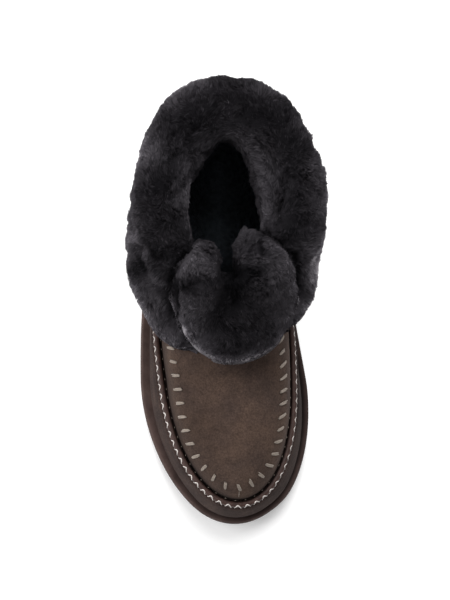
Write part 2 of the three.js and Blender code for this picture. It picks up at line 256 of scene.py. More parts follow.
def feather_ring(count):
    """The line where the upper meets the sole: heel tip, outer side, toe tip, inner side, evenly spaced."""
    half = np.cos(np.linspace(0, np.pi, FEATHER_FINE))
    y = mix(TOE_TIP_Y, HEEL_TIP_Y, (1 + half) / 2)
    outer = np.stack([centre_line(y) - half_width(y), y], -1)
    inner = np.stack([centre_line(y) + half_width(y), y], -1)[::-1]
    parts = []
    for line, part_count in ((outer, count // 2), (inner, count - count // 2)):
        run = run_of(line)
        parts.append(read_at(np.linspace(0, run[-1], part_count, endpoint=False), run, line))
    return np.concatenate(parts)


FEATHER = feather_ring(RING_POINTS)
ALONG = unit(np.roll(FEATHER, -1, 0) - np.roll(FEATHER, 1, 0))
OUTWARD = np.stack([ALONG[:, 1], -ALONG[:, 0]], -1)
RUN = run_of(np.vstack([FEATHER, FEATHER[:1]]))
TOE_POINT = RING_POINTS // 2
FROM_TOE = RUN[:-1] - RUN[TOE_POINT]  # negative along the outer side
OUTER_LEDGE, INNER_LEDGE, STEP = (read(FOOT, "y", FEATHER[:, 1], name) for name in ("outer", "inner", "step"))
LEDGE = np.where(FROM_TOE < 0, OUTER_LEDGE, INNER_LEDGE)


def ring_at(offset, height):
    """A ring at an offset from the feather line, its height a function of the place along the foot."""
    flat = FEATHER + OUTWARD * np.broadcast_to(offset, len(FEATHER))[:, None]
    return np.column_stack([flat, height(flat[:, 1])])


def above(base, gap, rise):
    """Heights over one of the boot's long lines, as a function of the place along the foot."""
    return lambda y: base(y) + gap + rise


def on_ring(run, values):
    """Values of the ring's points read at distances along it."""
    return read_at(np.mod(run, RUN[-1]), RUN, np.concatenate([values, values[:1]]))


# The upper's ribs, in upright planes through the ankle's axis

def heading_of(flat):
    return np.arctan2(flat[..., 0], ANKLE_Y - flat[..., 1])


def reach_of(flat):
    return np.hypot(flat[..., 0], flat[..., 1] - ANKLE_Y)


def feather_reach(heading):
    ring = feather_ring(REACH_POINTS)
    order = np.argsort(heading_of(ring))
    wrapped = np.arctan2(np.sin(heading), np.cos(heading))
    return np.interp(wrapped, heading_of(ring)[order], reach_of(ring)[order], period=2 * np.pi)


def ribs_at(heading, reach, t):
    """Points (reach, height) of the ribs at these headings, for the shares t of each curve."""
    turn = np.degrees(np.abs(np.arctan2(np.sin(heading), np.cos(heading))))
    row = {name: read(RIBS, "turn", turn, name) for name in RIBS}
    low = np.stack([reach, footbed_at(ANKLE_Y - reach * np.cos(heading)) + SEAT_GAP], -1)
    high = np.stack([row["reach"], row["collar"]], -1)
    first = low + np.stack([row["bulge"], row["rise"]], -1)
    second = np.stack([mix(high[:, 0], low[:, 0], row["forward"]), high[:, 1] - row["drop"]], -1)
    t = np.asarray(t)[None, :, None]
    corner = [p[:, None, :] for p in (low, first, second, high)]
    return (
        corner[0] * (1 - t) ** 3
        + corner[1] * 3 * t * (1 - t) ** 2
        + corner[2] * 3 * t**2 * (1 - t)
        + corner[3] * t**3
    )


def from_rib(heading, p):
    heading = np.broadcast_to(heading, p.shape[:-1])
    return np.stack([p[..., 0] * np.sin(heading), ANKLE_Y - p[..., 0] * np.cos(heading), p[..., 1]], -1)


def turned(heading, v):
    """A direction in a rib's plane as a direction in the boot's frame."""
    heading = np.broadcast_to(heading, v.shape[:-1])
    return np.stack([v[..., 0] * np.sin(heading), -v[..., 0] * np.cos(heading), v[..., 1]], -1)


# Meshes

def add_mesh(name, points, face_groups, material, smooth=True, uv=None, values=None, normals=None):
    """A mesh from points in millimetres and arrays of faces, each array with one count of corners."""
    points = (np.asarray(points, float) + CENTRE_SHIFT) * MM
    corners = np.concatenate([faces.ravel() for faces in face_groups]).astype(np.int32)
    sizes = np.concatenate([np.full(len(faces), faces.shape[1]) for faces in face_groups])
    mesh = bpy.data.meshes.new(name)
    mesh.vertices.add(len(points))
    mesh.vertices.foreach_set("co", points.astype(np.float32).ravel())
    mesh.loops.add(len(corners))
    mesh.loops.foreach_set("vertex_index", corners)
    mesh.polygons.add(len(sizes))
    mesh.polygons.foreach_set("loop_start", (np.cumsum(sizes) - sizes).astype(np.int32))
    mesh.polygons.foreach_set("use_smooth", np.full(len(sizes), smooth))
    if uv is not None:
        layer = mesh.uv_layers.new(name="OFBake")
        layer.data.foreach_set("uv", uv[corners].astype(np.float32).ravel())
    for key, column in (values or {}).items():
        attribute = mesh.attributes.new(key, "FLOAT", "POINT")
        attribute.data.foreach_set("value", np.asarray(column, np.float32).ravel())
    mesh.update(calc_edges=True)
    mesh.validate()
    if normals is not None:
        mesh.normals_split_custom_set_from_vertices(normals)
    mesh.materials.append(material)
    piece = bpy.data.objects.new(name, mesh)
    bpy.context.scene.collection.objects.link(piece)
    return piece


def grid_faces(rows, columns, wrap_rows=False, wrap_columns=False):
    """Quads of a grid of points, row by row."""
    i = np.arange(rows if wrap_rows else rows - 1)
    j = np.arange(columns if wrap_columns else columns - 1)
    i, j = np.meshgrid(i, j, indexing="ij")
    down, across = (i + 1) % rows, (j + 1) % columns
    corners = [i * columns + j, i * columns + across, down * columns + across, down * columns + j]
    return np.stack(corners, -1).reshape(-1, 4)


def cap_faces(start, columns):
    """Quads across a ring from its one side to the other, and the triangles that close its two ends."""
    i = np.arange(1, columns // 2 - 1)
    quads = np.stack([start + i, start + i + 1, start + columns - i - 1, start + columns - i], -1)
    middle = start + columns // 2
    tips = np.array([[start, start + 1, start + columns - 1], [middle - 1, middle, middle + 1]])
    return quads, tips


def ring_body(name, rings, material, **more):
    """A closed body through rings, from bottom to top."""
    rings = np.asarray(rings)
    rows, columns = rings.shape[:2]
    sides = grid_faces(rows, columns, wrap_columns=True)
    bottom, bottom_tips = cap_faces(0, columns)
    top, top_tips = cap_faces((rows - 1) * columns, columns)
    quads = np.concatenate([sides[:, ::-1], bottom[:, ::-1], top])
    tips = np.concatenate([bottom_tips[:, ::-1], top_tips])
    return add_mesh(name, rings.reshape(-1, 3), [quads, tips], material, **more)


def finer(rows, steps):
    """The rows of a side table, with more rows read smoothly between them."""
    count = len(next(iter(rows.values())))
    keyed = dict(rows, row=np.arange(count, dtype=float))
    at = np.linspace(0, count - 1, steps)
    return {name: read(keyed, "row", at, name) for name in rows}


TUBE_END = {"power": 4, "least": 0.03}


def tubes(name, lines, width, height, normals, material, taper, corners=8):
    """Short threads along lines (count, points, 3), flattened on the side of their normals."""
    lines = np.asarray(lines, float)
    count, length = lines.shape[:2]
    along = unit(np.gradient(lines, axis=1))
    up = unit(normals - along * np.sum(normals * along, -1, keepdims=True))
    across = np.cross(along, up)
    end = np.abs(np.linspace(-1, 1, length))
    size = np.sqrt(np.clip(1 - taper * end ** TUBE_END["power"], TUBE_END["least"], 1))[None, :, None, None]
    angle = np.linspace(0, 2 * np.pi, corners, endpoint=False)[None, None, :, None]
    points = lines[:, :, None] + size * (
        across[:, :, None] * np.cos(angle) * width / 2 + up[:, :, None] * np.sin(angle) * height / 2
    )
    one = grid_faces(length, corners, wrap_columns=True)
    faces = (one[None] + (np.arange(count) * length * corners)[:, None, None]).reshape(-1, 4)
    return add_mesh(name, points.reshape(-1, 3), [faces], material)


# Materials

def linear(red, green, blue):
    """A colour given as a screen shows it, 0 to 255, as light."""
    values = []
    for value in (red, green, blue):
        s = value / 255
        values.append(s / 12.92 if s <= 0.04045 else ((s + 0.055) / 1.055) ** 2.4)
    return (*values, 1.0)


SPECKLE_LOW = 0.3  # value of a noise below which the darker colour is full


class Look:
    """A procedural material round one Principled shader."""

    def __init__(self, name, roughness, specular=0.3, sheen=0.0):
        self.material = bpy.data.materials.new(name)
        self.material.use_nodes = True
        self.nodes = self.material.node_tree.nodes
        self.links = self.material.node_tree.links
        self.shader = self.nodes["Principled BSDF"]
        self.shader.inputs["Roughness"].default_value = roughness
        self.shader.inputs["Specular IOR Level"].default_value = specular
        self.shader.inputs["Sheen Weight"].default_value = sheen
        self.place = None

    def node(self, kind, **inputs):
        made = self.nodes.new(kind)
        for key, value in inputs.items():
            made.inputs[key].default_value = value
        return made

    def noise(self, size_mm, detail=3.0, roughness=0.55, stretch=None):
        """Noise whose features are about this large."""
        if self.place is None:
            self.place = self.nodes.new("ShaderNodeTexCoord")
        made = self.node("ShaderNodeTexNoise", Scale=1 / (size_mm * MM), Detail=detail, Roughness=roughness)
        source = self.place.outputs["Object"]
        if stretch is not None:
            mapping = self.node("ShaderNodeMapping", Scale=stretch)
            self.links.new(source, mapping.inputs["Vector"])
            source = mapping.outputs["Vector"]
        self.links.new(source, made.inputs["Vector"])
        return made.outputs["Fac"]

    def value(self, attribute):
        made = self.nodes.new("ShaderNodeAttribute")
        made.attribute_name = attribute
        return made.outputs["Fac"]

    def ramp(self, source, *stops):
        made = self.nodes.new("ShaderNodeValToRGB")
        elements = made.color_ramp.elements
        while len(elements) < len(stops):
            elements.new(0.5)
        for element, (at, colour) in zip(elements, stops):
            element.position = at
            element.color = colour
        self.links.new(source, made.inputs["Fac"])
        return made.outputs["Color"]

    def blend(self, kind, factor, a, b):
        made = self.nodes.new("ShaderNodeMix")
        made.data_type = "RGBA"
        made.blend_type = kind
        for name, source in (("Factor", factor), ("A", a), ("B", b)):
            kind_wanted = "VALUE" if name == "Factor" else "RGBA"
            socket = next(s for s in made.inputs if s.name == name and s.type == kind_wanted)
            if isinstance(source, (float, tuple)):
                socket.default_value = source
            else:
                self.links.new(source, socket)
        return next(s for s in made.outputs if s.type == "RGBA")

    def speckle(self, size_mm, dark, light, top=0.75, **noise):
        """Two colours that follow a noise with features of this size."""
        return self.ramp(self.noise(size_mm, **noise), (SPECKLE_LOW, dark), (top, light))

    def with_painted_shade(self, shade_colour, source):
        """A colour, darkened towards a colour of painted shade where the value 'shade' is low."""
        self.colour(self.blend("MIX", self.value("shade"), shade_colour, source))

    def colour(self, source):
        if isinstance(source, tuple):
            self.shader.inputs["Base Color"].default_value = source
        else:
            self.links.new(source, self.shader.inputs["Base Color"])

    def bump(self, *layers):
        """Bumps from (height source, depth in millimetres), one on another."""
        below = None
        for source, depth_mm in layers:
            made = self.node("ShaderNodeBump", Strength=1.0, Distance=depth_mm * MM)
            self.links.new(source, made.inputs["Height"])
            if below is not None:
                self.links.new(below, made.inputs["Normal"])
            below = made.outputs["Normal"]
        self.links.new(below, self.shader.inputs["Normal"])


def grey(level):
    return (level, level, level, 1.0)


def suede(name, dark, middle, light, shade_colour):
    """Napped leather: clouds of brushed nap and a fine fleck, with painted shade where the value 'shade' is
    low.
    """
    look = Look(name, roughness=0.95, specular=0.04, sheen=0.02)
    look.shader.inputs["Sheen Roughness"].default_value = 0.6
    clouds = look.ramp(look.noise(size_mm=18, detail=4), (SPECKLE_LOW, dark), (0.5, middle), (0.7, light))
    brushed = look.speckle(4.0, dark=grey(0.82), light=grey(1.14), top=0.7, detail=4, roughness=0.65)
    fleck = look.speckle(1.2, dark=grey(0.5), light=grey(1.44), top=0.72, detail=5, roughness=0.75)
    napped = look.blend("MULTIPLY", 0.85, look.blend("MULTIPLY", 1.0, clouds, brushed), fleck)
    look.with_painted_shade(shade_colour, napped)
    waves, grain = look.noise(size_mm=4.5, detail=3), look.noise(size_mm=0.55, detail=4, roughness=0.7)
    look.bump((waves, 0.25), (grain, 0.18))
    return look.material


def speckled_shaded(name, shade_colour, dark, light, size_mm, grain, grain_mm, **shader):
    """A speckled material with a grain, and painted shade where the value 'shade' is low."""
    look = Look(name, **shader)
    look.with_painted_shade(shade_colour, look.speckle(size_mm, dark, light, detail=5))
    look.bump((look.noise(**grain), grain_mm))
    return look.material


def thread(name, dark, light):
    look = Look(name, roughness=0.8, specular=0.2, sheen=0.1)
    look.colour(look.speckle(0.6, dark, light, top=0.7, detail=3))
    look.bump((look.noise(size_mm=0.35, detail=2), 0.12))
    return look.material


FUR_TONES = (
    (0.0, linear(3, 3, 4)),
    (0.2, linear(20, 19, 21)),
    (0.4, linear(40, 38, 41)),
    (0.7, linear(72, 69, 73)),
    (0.9, linear(114, 110, 116)),
    (1.0, linear(184, 179, 184)),
)


def fur_pile():
    """Hair coloured by its own tone, and shaded from its root to its tip."""
    look = Look("fur_pile", roughness=0.8, specular=0.02)
    place = look.nodes.new("ShaderNodeUVMap")
    place.uv_map = "OFBake"
    parts = look.nodes.new("ShaderNodeSeparateXYZ")
    look.links.new(place.outputs["UV"], parts.inputs["Vector"])
    tone = look.ramp(parts.outputs["X"], *FUR_TONES)
    along = look.ramp(parts.outputs["Y"], (0.0, grey(0.6)), (0.5, grey(0.85)), (1.0, grey(1.0)))
    look.colour(look.blend("MULTIPLY", 1.0, tone, along))
    return look.material


def fur_ground():
    look = Look("fur_ground", roughness=1.0, specular=0.02)
    fleck = look.speckle(2.0, dark=grey(0.7), light=grey(1.3), detail=5)
    look.colour(look.blend("MULTIPLY", 1.0, look.ramp(look.value("tone"), *FUR_TONES), fleck))
    look.bump((look.noise(size_mm=2.5, detail=5), 1.0))
    return look.material


# Painted shade: the dark colours that the materials below turn to where their value 'shade' is low
CREVICE = linear(19, 11, 9)
WRAP_LOW = linear(16, 10, 9)
UPPER_LOOK = suede("upper_suede", linear(67, 55, 50), linear(75, 61, 54), linear(84, 68, 59), CREVICE)
WRAP_LOOK = suede("wrap_suede", linear(59, 48, 45), linear(70, 57, 53), linear(82, 67, 61), WRAP_LOW)
WELT_LOOK = speckled_shaded(
    "welt_leather",
    CREVICE,
    dark=linear(43, 26, 21),
    light=linear(70, 47, 40),
    size_mm=3.0,
    grain={"size_mm": 0.8, "detail": 4},
    grain_mm=0.14,
    roughness=0.55,
    specular=0.3,
)
RUBBER_LOOK = speckled_shaded(
    "sole_rubber",
    WRAP_LOW,
    dark=linear(63, 50, 47),
    light=linear(86, 70, 66),
    size_mm=9.0,
    grain={"size_mm": 1.2, "detail": 5},
    grain_mm=0.15,
    roughness=0.8,
    specular=0.1,
)
WHITE_THREAD = thread("white_thread", linear(196, 188, 182), linear(236, 230, 226))
TAUPE_THREAD = thread("taupe_thread", linear(106, 96, 88), linear(149, 138, 127))
LINING_LOOK = speckled_shaded(
    "lining_pile",
    linear(4, 4, 5),
    dark=linear(52, 57, 62),
    light=linear(72, 78, 84),
    size_mm=3.0,
    grain={"size_mm": 3.5, "detail": 5, "roughness": 0.65},
    grain_mm=1.2,
    roughness=1.0,
    specular=0.05,
)
FUR_LOOK = fur_pile()
FUR_GROUND_LOOK = fur_ground()


def stand_for(piece, slot, *nodes):
    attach(piece, "root")
    if nodes:
        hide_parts(*nodes)


# Sole

# How dark the painted shade is at the foot of the wrap and on the ledge under it, by the distance from the
# toe tip, negative along the outer side
FOOT_DARK = table(
    "from_toe dark",
    ("heel, outer", -300, 0.5),
    ("outer side", -150, 0.12),
    ("outer toe", -40, 0.2),
    ("toe", 0, 0.6),
    ("inner toe corner", 40, 0.85),
    ("inner side", 150, 0.85),
    ("heel, inner", 300, 0.5),
)
# Painted light and shade of the wrap and the outsole, by the same distance: paler along the outer side and
# the toe, darker along the inner side
SOLE_SIDE_SHADE = table(
    "from_toe wrap outsole",
    ("heel, outer", -300, 0.57, 0.7),
    ("far outer side", -150, 0.62, 1),
    ("outer ball", -60, 0.66, 1),
    ("outer toe", -25, 0.7, 0.85),
    ("toe", 0, 0.68, 0.75),
    ("inner toe corner", 40, 0.57, 0.6),
    ("inner ball", 75, 0.33, 0.48),
    ("far inner side", 150, 0.33, 0.48),
    ("heel, inner", 300, 0.57, 0.7),
)
# Painted shade on the ledge under the wrap, darker inwards towards the wrap's foot
LEDGE_DARK = {"height": 0.9, "from": 1.6, "to": 4.0}  # the ledge under the wrap darkens inwards
WRAP_FOOT = 0.16  # share of the wrap's height that lies in the shade of its foot
FOOT_SHADE = read(FOOT_DARK, "from_toe", FROM_TOE, "dark")


def build_outsole():
    side = finer(OUTSOLE_SIDE, SIDE_STEPS["outsole"])
    rings = [
        ring_at(LEDGE - inset, above(ground_at, 0, height * OUTSOLE_THICK))
        for height, inset in zip(side["height"], side["inset"])
    ]
    on_top = side["height"] > LEDGE_DARK["height"]
    tucked = on_top * ease(share(side["inset"], LEDGE_DARK["from"], LEDGE_DARK["to"]))
    shade = read(SOLE_SIDE_SHADE, "from_toe", FROM_TOE, "outsole") * (1 - tucked[:, None] * FOOT_SHADE)
    piece = ring_body("outsole_rubber", rings, RUBBER_LOOK, values={"shade": shade})
    boxes = []
    for y in np.linspace(TREAD["from"], TREAD["to"], TREAD["grooves"]):
        half = half_width(y) + min(read(FOOT, "y", y, "outer"), read(FOOT, "y", y, "inner")) - TREAD["rim"]
        centre = np.array([centre_line(y), y, ground_at(y)])
        reach = np.array([half, TREAD["wide"] / 2, TREAD["deep"]])
        boxes.append((centre - reach, centre + reach))
    cut_boxes(piece, boxes)
    stand_for(piece, "rubber", "outsole")


def cut_boxes(piece, boxes):
    """Cuts boxes out of a piece."""
    corner = np.array([[x, y, z] for x in (0, 1) for y in (0, 1) for z in (0, 1)])
    one = np.array([[0, 1, 3, 2], [4, 6, 7, 5], [0, 4, 5, 1], [2, 3, 7, 6], [0, 2, 6, 4], [1, 5, 7, 3]])
    points = np.concatenate([mix(low, high, corner) for low, high in boxes])
    faces = np.concatenate([one + len(corner) * k for k in range(len(boxes))])
    cutter = add_mesh("cutter", points, [faces], RUBBER_LOOK, smooth=False)
    cut = piece.modifiers.new("cut", "BOOLEAN")
    cut.object = cutter
    cut.operation = "DIFFERENCE"
    cut.solver = "EXACT"
    mesh = bpy.data.meshes.new_from_object(piece.evaluated_get(bpy.context.evaluated_depsgraph_get()))
    piece.modifiers.clear()
    piece.data = mesh
    bpy.data.objects.remove(cutter)


# Painted shade along a shallow fold of the wrap: its share of the height, its width, and how dark
WRAP_FOLD = {"height": 0.8, "wide": 0.09, "dark": 0.2}


def wrap_height(up):
    """Heights a share of the way up the wrap, as a function of the place along the foot."""
    return lambda y: mix(ground_at(y) + OUTSOLE_THICK + SEAT_GAP, footbed_at(y), up)


def build_platform():
    side = finer(PLATFORM_SIDE, SIDE_STEPS["platform"])
    # painted light and shade, by the side of the foot
    tone = read(SOLE_SIDE_SHADE, "from_toe", FROM_TOE, "wrap")
    rings, shade = [], []
    for height, flare, inset in zip(side["height"], side["flare"], side["inset"]):
        offset = mix(WRAP_EDGE, LEDGE - STEP, flare) - inset
        rings.append(ring_at(offset, wrap_height(height)))
        fold = 1 - WRAP_FOLD["dark"] * bell((height - WRAP_FOLD["height"]) / WRAP_FOLD["wide"])
        shade.append(tone * fold * (1 - FOOT_SHADE * (1 - ease(share(height, 0, WRAP_FOOT)))))
    piece = ring_body("platform_wrap", rings, WRAP_LOOK, values={"shade": np.array(shade)})
    stand_for(piece, "suede", "platform")


# Painted shade of the crevice on the welt's inner side
WELT_DARK = (0.1, 0.36)  # shares of the welt's width between which the crevice's dark fades out


def build_welt():
    section = finer(WELT_SECTION, SIDE_STEPS["welt"])
    rings = [
        ring_at(WELT["start"] + out * WELT["wide"], above(footbed_at, SEAT_GAP, up * WELT["high"]))
        for out, up in zip(section["out"], section["up"])
    ]
    faces = grid_faces(len(rings), RING_POINTS, wrap_rows=True, wrap_columns=True)
    shade = np.repeat(ease(share(section["out"], *WELT_DARK)), RING_POINTS)
    piece = add_mesh("welt_strip", np.concatenate(rings), [faces], WELT_LOOK, values={"shade": shade})
    stand_for(piece, "welt_leather", "welt")


WRAP_TOP = 0.2  # height of the wrap's edge above the footbed


def sole_top(offset):
    """Height of the welt or the wrap's edge above the footbed, at an offset from the feather line."""
    out = (offset - WELT["start"]) / WELT["wide"]
    welt = SEAT_GAP + WELT["high"] * np.sqrt(np.clip(1 - np.abs(2 * out - 1) ** WELT["crown"], 0, 1))
    return np.maximum(welt, WRAP_TOP)


def beside_feather(run, offset, rise):
    """Points at distances along the feather line, at offsets from it and heights above the footbed."""
    flat = on_ring(run, FEATHER) + on_ring(run, OUTWARD) * np.broadcast_to(offset, run.shape)[..., None]
    height = footbed_at(flat[..., 1]) + rise
    return np.concatenate([flat, height[..., None]], -1)


ZIGZAG = {
    "pitch": 6.0,
    "wide": 4.3,
    "offset": 4.5,  # from the feather line to the middle of the chevrons
    "high": 1.35,
    "side_high": 0.55,  # share of that height left along the sides, where the thread is pulled straight
    "thread": 0.72,
    "inner_thread": 0.5,  # thinner where it turns away along the inner side
    "flat": 0.8,  # its height by its width
    "above": 0.12,
    "taper": 0.85,
    "apex": 0.42,
    "bow": 0.8,
    "points": 11,
    "corners": 6,
}


def build_zigzag():
    """White chevrons along the welt's outer edge, their points towards the upper."""
    line = FEATHER + OUTWARD * ZIGZAG["offset"]
    run = run_of(np.vstack([line, line[:1]]))
    count = round(run[-1] / ZIGZAG["pitch"])
    at = run[TOE_POINT] + np.arange(count) * run[-1] / count
    along = np.linspace(0, 1, ZIGZAG["points"])
    rise = np.where(along < ZIGZAG["apex"], along / ZIGZAG["apex"], (1 - along) / (1 - ZIGZAG["apex"]))
    place = np.interp(np.mod(at[:, None] + (along[None] - 0.5) * ZIGZAG["wide"], run[-1]), run, RUN)
    facing_toe = np.abs(on_ring(place, ALONG)[..., 0])
    high = ZIGZAG["high"] * mix(ZIGZAG["side_high"], 1, ease(facing_toe))
    offset = ZIGZAG["offset"] + high * (0.5 - ease(rise) ** ZIGZAG["bow"])
    lines = beside_feather(place, offset, sole_top(offset) + ZIGZAG["above"])
    outward = on_ring(place[:, :1], OUTWARD)[..., 0]
    wide = mix(ZIGZAG["thread"], ZIGZAG["inner_thread"], ease(outward))[..., None, None]
    high = wide * ZIGZAG["flat"]
    piece = tubes("welt_zigzag", lines, wide, high, UP, WHITE_THREAD, ZIGZAG["taper"], ZIGZAG["corners"])
    stand_for(piece, "welt_leather")


CREVICE_THREAD = {
    "pitch": 6.2,
    "stray": 0.5,
    "long": 1.0,
    "thick": 0.5,
    "offset": 0.55,
    "above": 2.7,
    "points": 5,
    "taper": 0.9,
}


def build_crevice_threads():
    """Small thread loops that show in the crevice between upper and welt."""
    count = round(RUN[-1] / CREVICE_THREAD["pitch"])
    stray = random.uniform(-CREVICE_THREAD["stray"], CREVICE_THREAD["stray"], count)
    at = np.arange(count) * RUN[-1] / count + stray
    run = at[:, None] + np.linspace(-0.5, 0.5, CREVICE_THREAD["points"])[None] * CREVICE_THREAD["long"]
    lines = beside_feather(run, CREVICE_THREAD["offset"], CREVICE_THREAD["above"])
    thick = CREVICE_THREAD["thick"]
    piece = tubes("crevice_thread", lines, thick, thick, UP, TAUPE_THREAD, CREVICE_THREAD["taper"])
    stand_for(piece, "welt_leather")


# Upper

HEADINGS = heading_of(FEATHER)
REACHES = reach_of(FEATHER)

# Soft creases of the worn suede, in the plan of the boot: from one point to another, with a width and a depth
CREASES = table(
    "x0 y0 x1 y1 wide deep",
    ("vamp bend, outer", -34, -14, -6, -33, 5.0, 0.8),
    ("vamp bend, inner", 40, -22, 18, -40, 5.0, 0.7),
    ("ball, outer", -33, -44, -8, -56, 6.0, 0.5),
    ("ball, inner", 43, -50, 24, -60, 6.0, 0.5),
    ("toe roll", -6, -92, 26, -94, 9.0, -0.5),
    ("waist, outer", -37, 18, -30, 40, 5.0, 0.8),
    ("waist, inner", 39, 14, 30, 38, 5.0, 0.8),
)
CREASE_FADE = (0.15, 0.85)  # a crease's depth follows a half wave between these shares


def beside_line(flat, x0, y0, x1, y1):
    """Distance in plan from the line between two points, and the share of the way along it."""
    start, way = np.array([x0, y0]), np.array([x1 - x0, y1 - y0])
    t = np.clip(((flat - start) @ way) / (way @ way), 0, 1)
    return np.linalg.norm(flat - (start + t[..., None] * way), axis=-1), t


def patched(points, patches):
    """How much paler soft round patches are at points, by their place in plan."""
    paler = np.zeros(points.shape[:-1])
    for x, y, wide, tone in zip(*patches.values()):
        paler += tone * np.exp(-np.sum((points[..., :2] - (x, y)) ** 2, -1) / wide**2)
    return paler


def creased(points, normals):
    """Points pushed along their normals into the creases."""
    depth = np.zeros(points.shape[:-1])
    for *line, wide, deep in zip(*CREASES.values()):
        gap, t = beside_line(points[..., :2], *line)
        depth += deep * bell(gap / wide) * np.sin(np.pi * mix(*CREASE_FADE, t))
    return points - normals * depth[..., None]


def grid_normals(grid, wrap_columns):
    """Unit normals of a grid of points."""
    down = np.gradient(grid, axis=0)
    if wrap_columns:
        across = np.roll(grid, -1, 1) - np.roll(grid, 1, 1)
    else:
        across = np.gradient(grid, axis=1)
    return unit(np.cross(across, down))


UPPER_RIBS = ribs_at(HEADINGS, REACHES, np.linspace(0, 1, RIB_POINTS))
UPPER_GRID = np.swapaxes(from_rib(HEADINGS[:, None], UPPER_RIBS), 0, 1)
UPPER_NORMALS = grid_normals(UPPER_GRID, True)
UPPER_INSET = np.einsum("rck,ck->rc", UPPER_GRID[0, :, :2] - UPPER_GRID[..., :2], OUTWARD)
UPPER_SHADE = {"wall": 0.6, "edge": 2.2, "crevice_from": 1.5, "crevice_to": 7.0, "vamp": 0.8}
# Soft paler and darker patches of the suede, in the plan of the boot; the dark one under the flap is painted
# shade
SUEDE_PATCHES = table(
    "x y wide tone",
    ("outer waist", -20, -46, 13, -0.12),
    ("outer ball", -15, -77, 14, -0.28),
    ("outer toe", -5, -95, 9, -0.08),
    ("middle", 7, -66, 18, 0.08),
    ("inner side, under the flap", 31, -42, 10, -0.24),
    ("inner ball", 28, -64, 11, 0.06),
    ("toe", 12, -107, 10, 0.2),
)


def upper_shade():
    """Painted shade, dark in the crevice over the welt and a little darker on the upright wall than on the
    vamp, times the suede's patches.
    """
    height = UPPER_GRID[..., 2] - footbed_at(UPPER_GRID[..., 1])
    crevice = ease(share(height, UPPER_SHADE["crevice_from"], UPPER_SHADE["crevice_to"]))
    edge = ease(share(UPPER_INSET - UPPER_INSET.min(0), 0, UPPER_SHADE["edge"]))
    vamp = UPPER_SHADE["vamp"] + patched(UPPER_GRID, SUEDE_PATCHES)
    return crevice * vamp * mix(UPPER_SHADE["wall"], 1, edge)


def build_upper():
    outer = creased(UPPER_GRID, UPPER_NORMALS)
    inner = UPPER_GRID - UPPER_NORMALS * WALL
    inner[0, :, 2] = outer[0, :, 2]
    inner = inner[::-HIDDEN_STEP]
    shell = np.concatenate([outer, inner])
    shade = np.concatenate([upper_shade(), np.full(inner.shape[:2], UPPER_SHADE["wall"])])
    faces = grid_faces(len(shell), RING_POINTS, wrap_rows=True, wrap_columns=True)
    piece = add_mesh("upper_suede", shell.reshape(-1, 3), [faces], UPPER_LOOK, values={"shade": shade})
    stand_for(piece, "suede", "upper")


LINING = {"thick": 4.0, "from": 0.06, "to": 0.9, "dark_turn": 14, "pale_turn": 50}


def build_lining():
    """Short pile on the inside of the upper, from the insole up to the fur."""
    rows = slice(int(LINING["from"] * RIB_POINTS), int(LINING["to"] * RIB_POINTS))
    face = UPPER_GRID[rows] - UPPER_NORMALS[rows] * (WALL + LINING["thick"])
    back = UPPER_GRID[rows] - UPPER_NORMALS[rows] * (WALL + SEAT_GAP)
    shell = np.concatenate([back, face[::-1]])[::HIDDEN_STEP, ::HIDDEN_STEP]
    faces = grid_faces(*shell.shape[:2], wrap_rows=True, wrap_columns=True)
    # Painted shade: the lining is darker towards the front, behind the flap
    turn = np.degrees(np.abs(HEADINGS[::HIDDEN_STEP]))
    shade = np.tile(ease(share(turn, LINING["dark_turn"], LINING["pale_turn"])), len(shell))
    piece = add_mesh("upper_lining", shell.reshape(-1, 3), [faces], LINING_LOOK, values={"shade": shade})
    stand_for(piece, "lining")


INSOLE_SIDE = table(
    "height inset",
    ("foot", 0, 0),
    ("low", 0.35, -0.4),
    ("side", 0.7, 0),
    ("turn", 0.9, 0.8),
    ("top", 1, 2.2),
)
# Painted shade on the insole along the foot
INSOLE_LIT = (12.0, 60.0)  # along the foot, from the dark under the vamp to the light under the opening


def build_insole():
    rings = [
        ring_at(-INSOLE["inset"] - inset, above(footbed_at, SEAT_GAP, height * INSOLE["thick"]))
        for height, inset in zip(INSOLE_SIDE["height"], INSOLE_SIDE["inset"])
    ]
    shade = np.tile(ease(share(FEATHER[:, 1], *INSOLE_LIT)), len(rings))
    piece = ring_body("insole_pile", rings, LINING_LOOK, values={"shade": shade})
    stand_for(piece, "lining", "insole")


STITCH = {
    "outer_pitch": 8.55,
    "inner_pitch": 7.9,
    "long": 5.0,  # as seen
    "strands": 3,
    "strand": 0.84,
    "apart": 0.56,
    "points": 9,
    "corners": 6,
    "taper": 0.7,
    "arch": 0.3,
    "above": 0.06,
    "sway": 6,  # of the bearing, in degrees
    "slip": 0.5,
    "uneven": (0.8, 1.15),  # of the length
    "gather": 0.8,  # how the strands close up towards their ends
    "fan": 0.4,
    "least_facing": 0.2,
    "least_seen": 0.5,
}
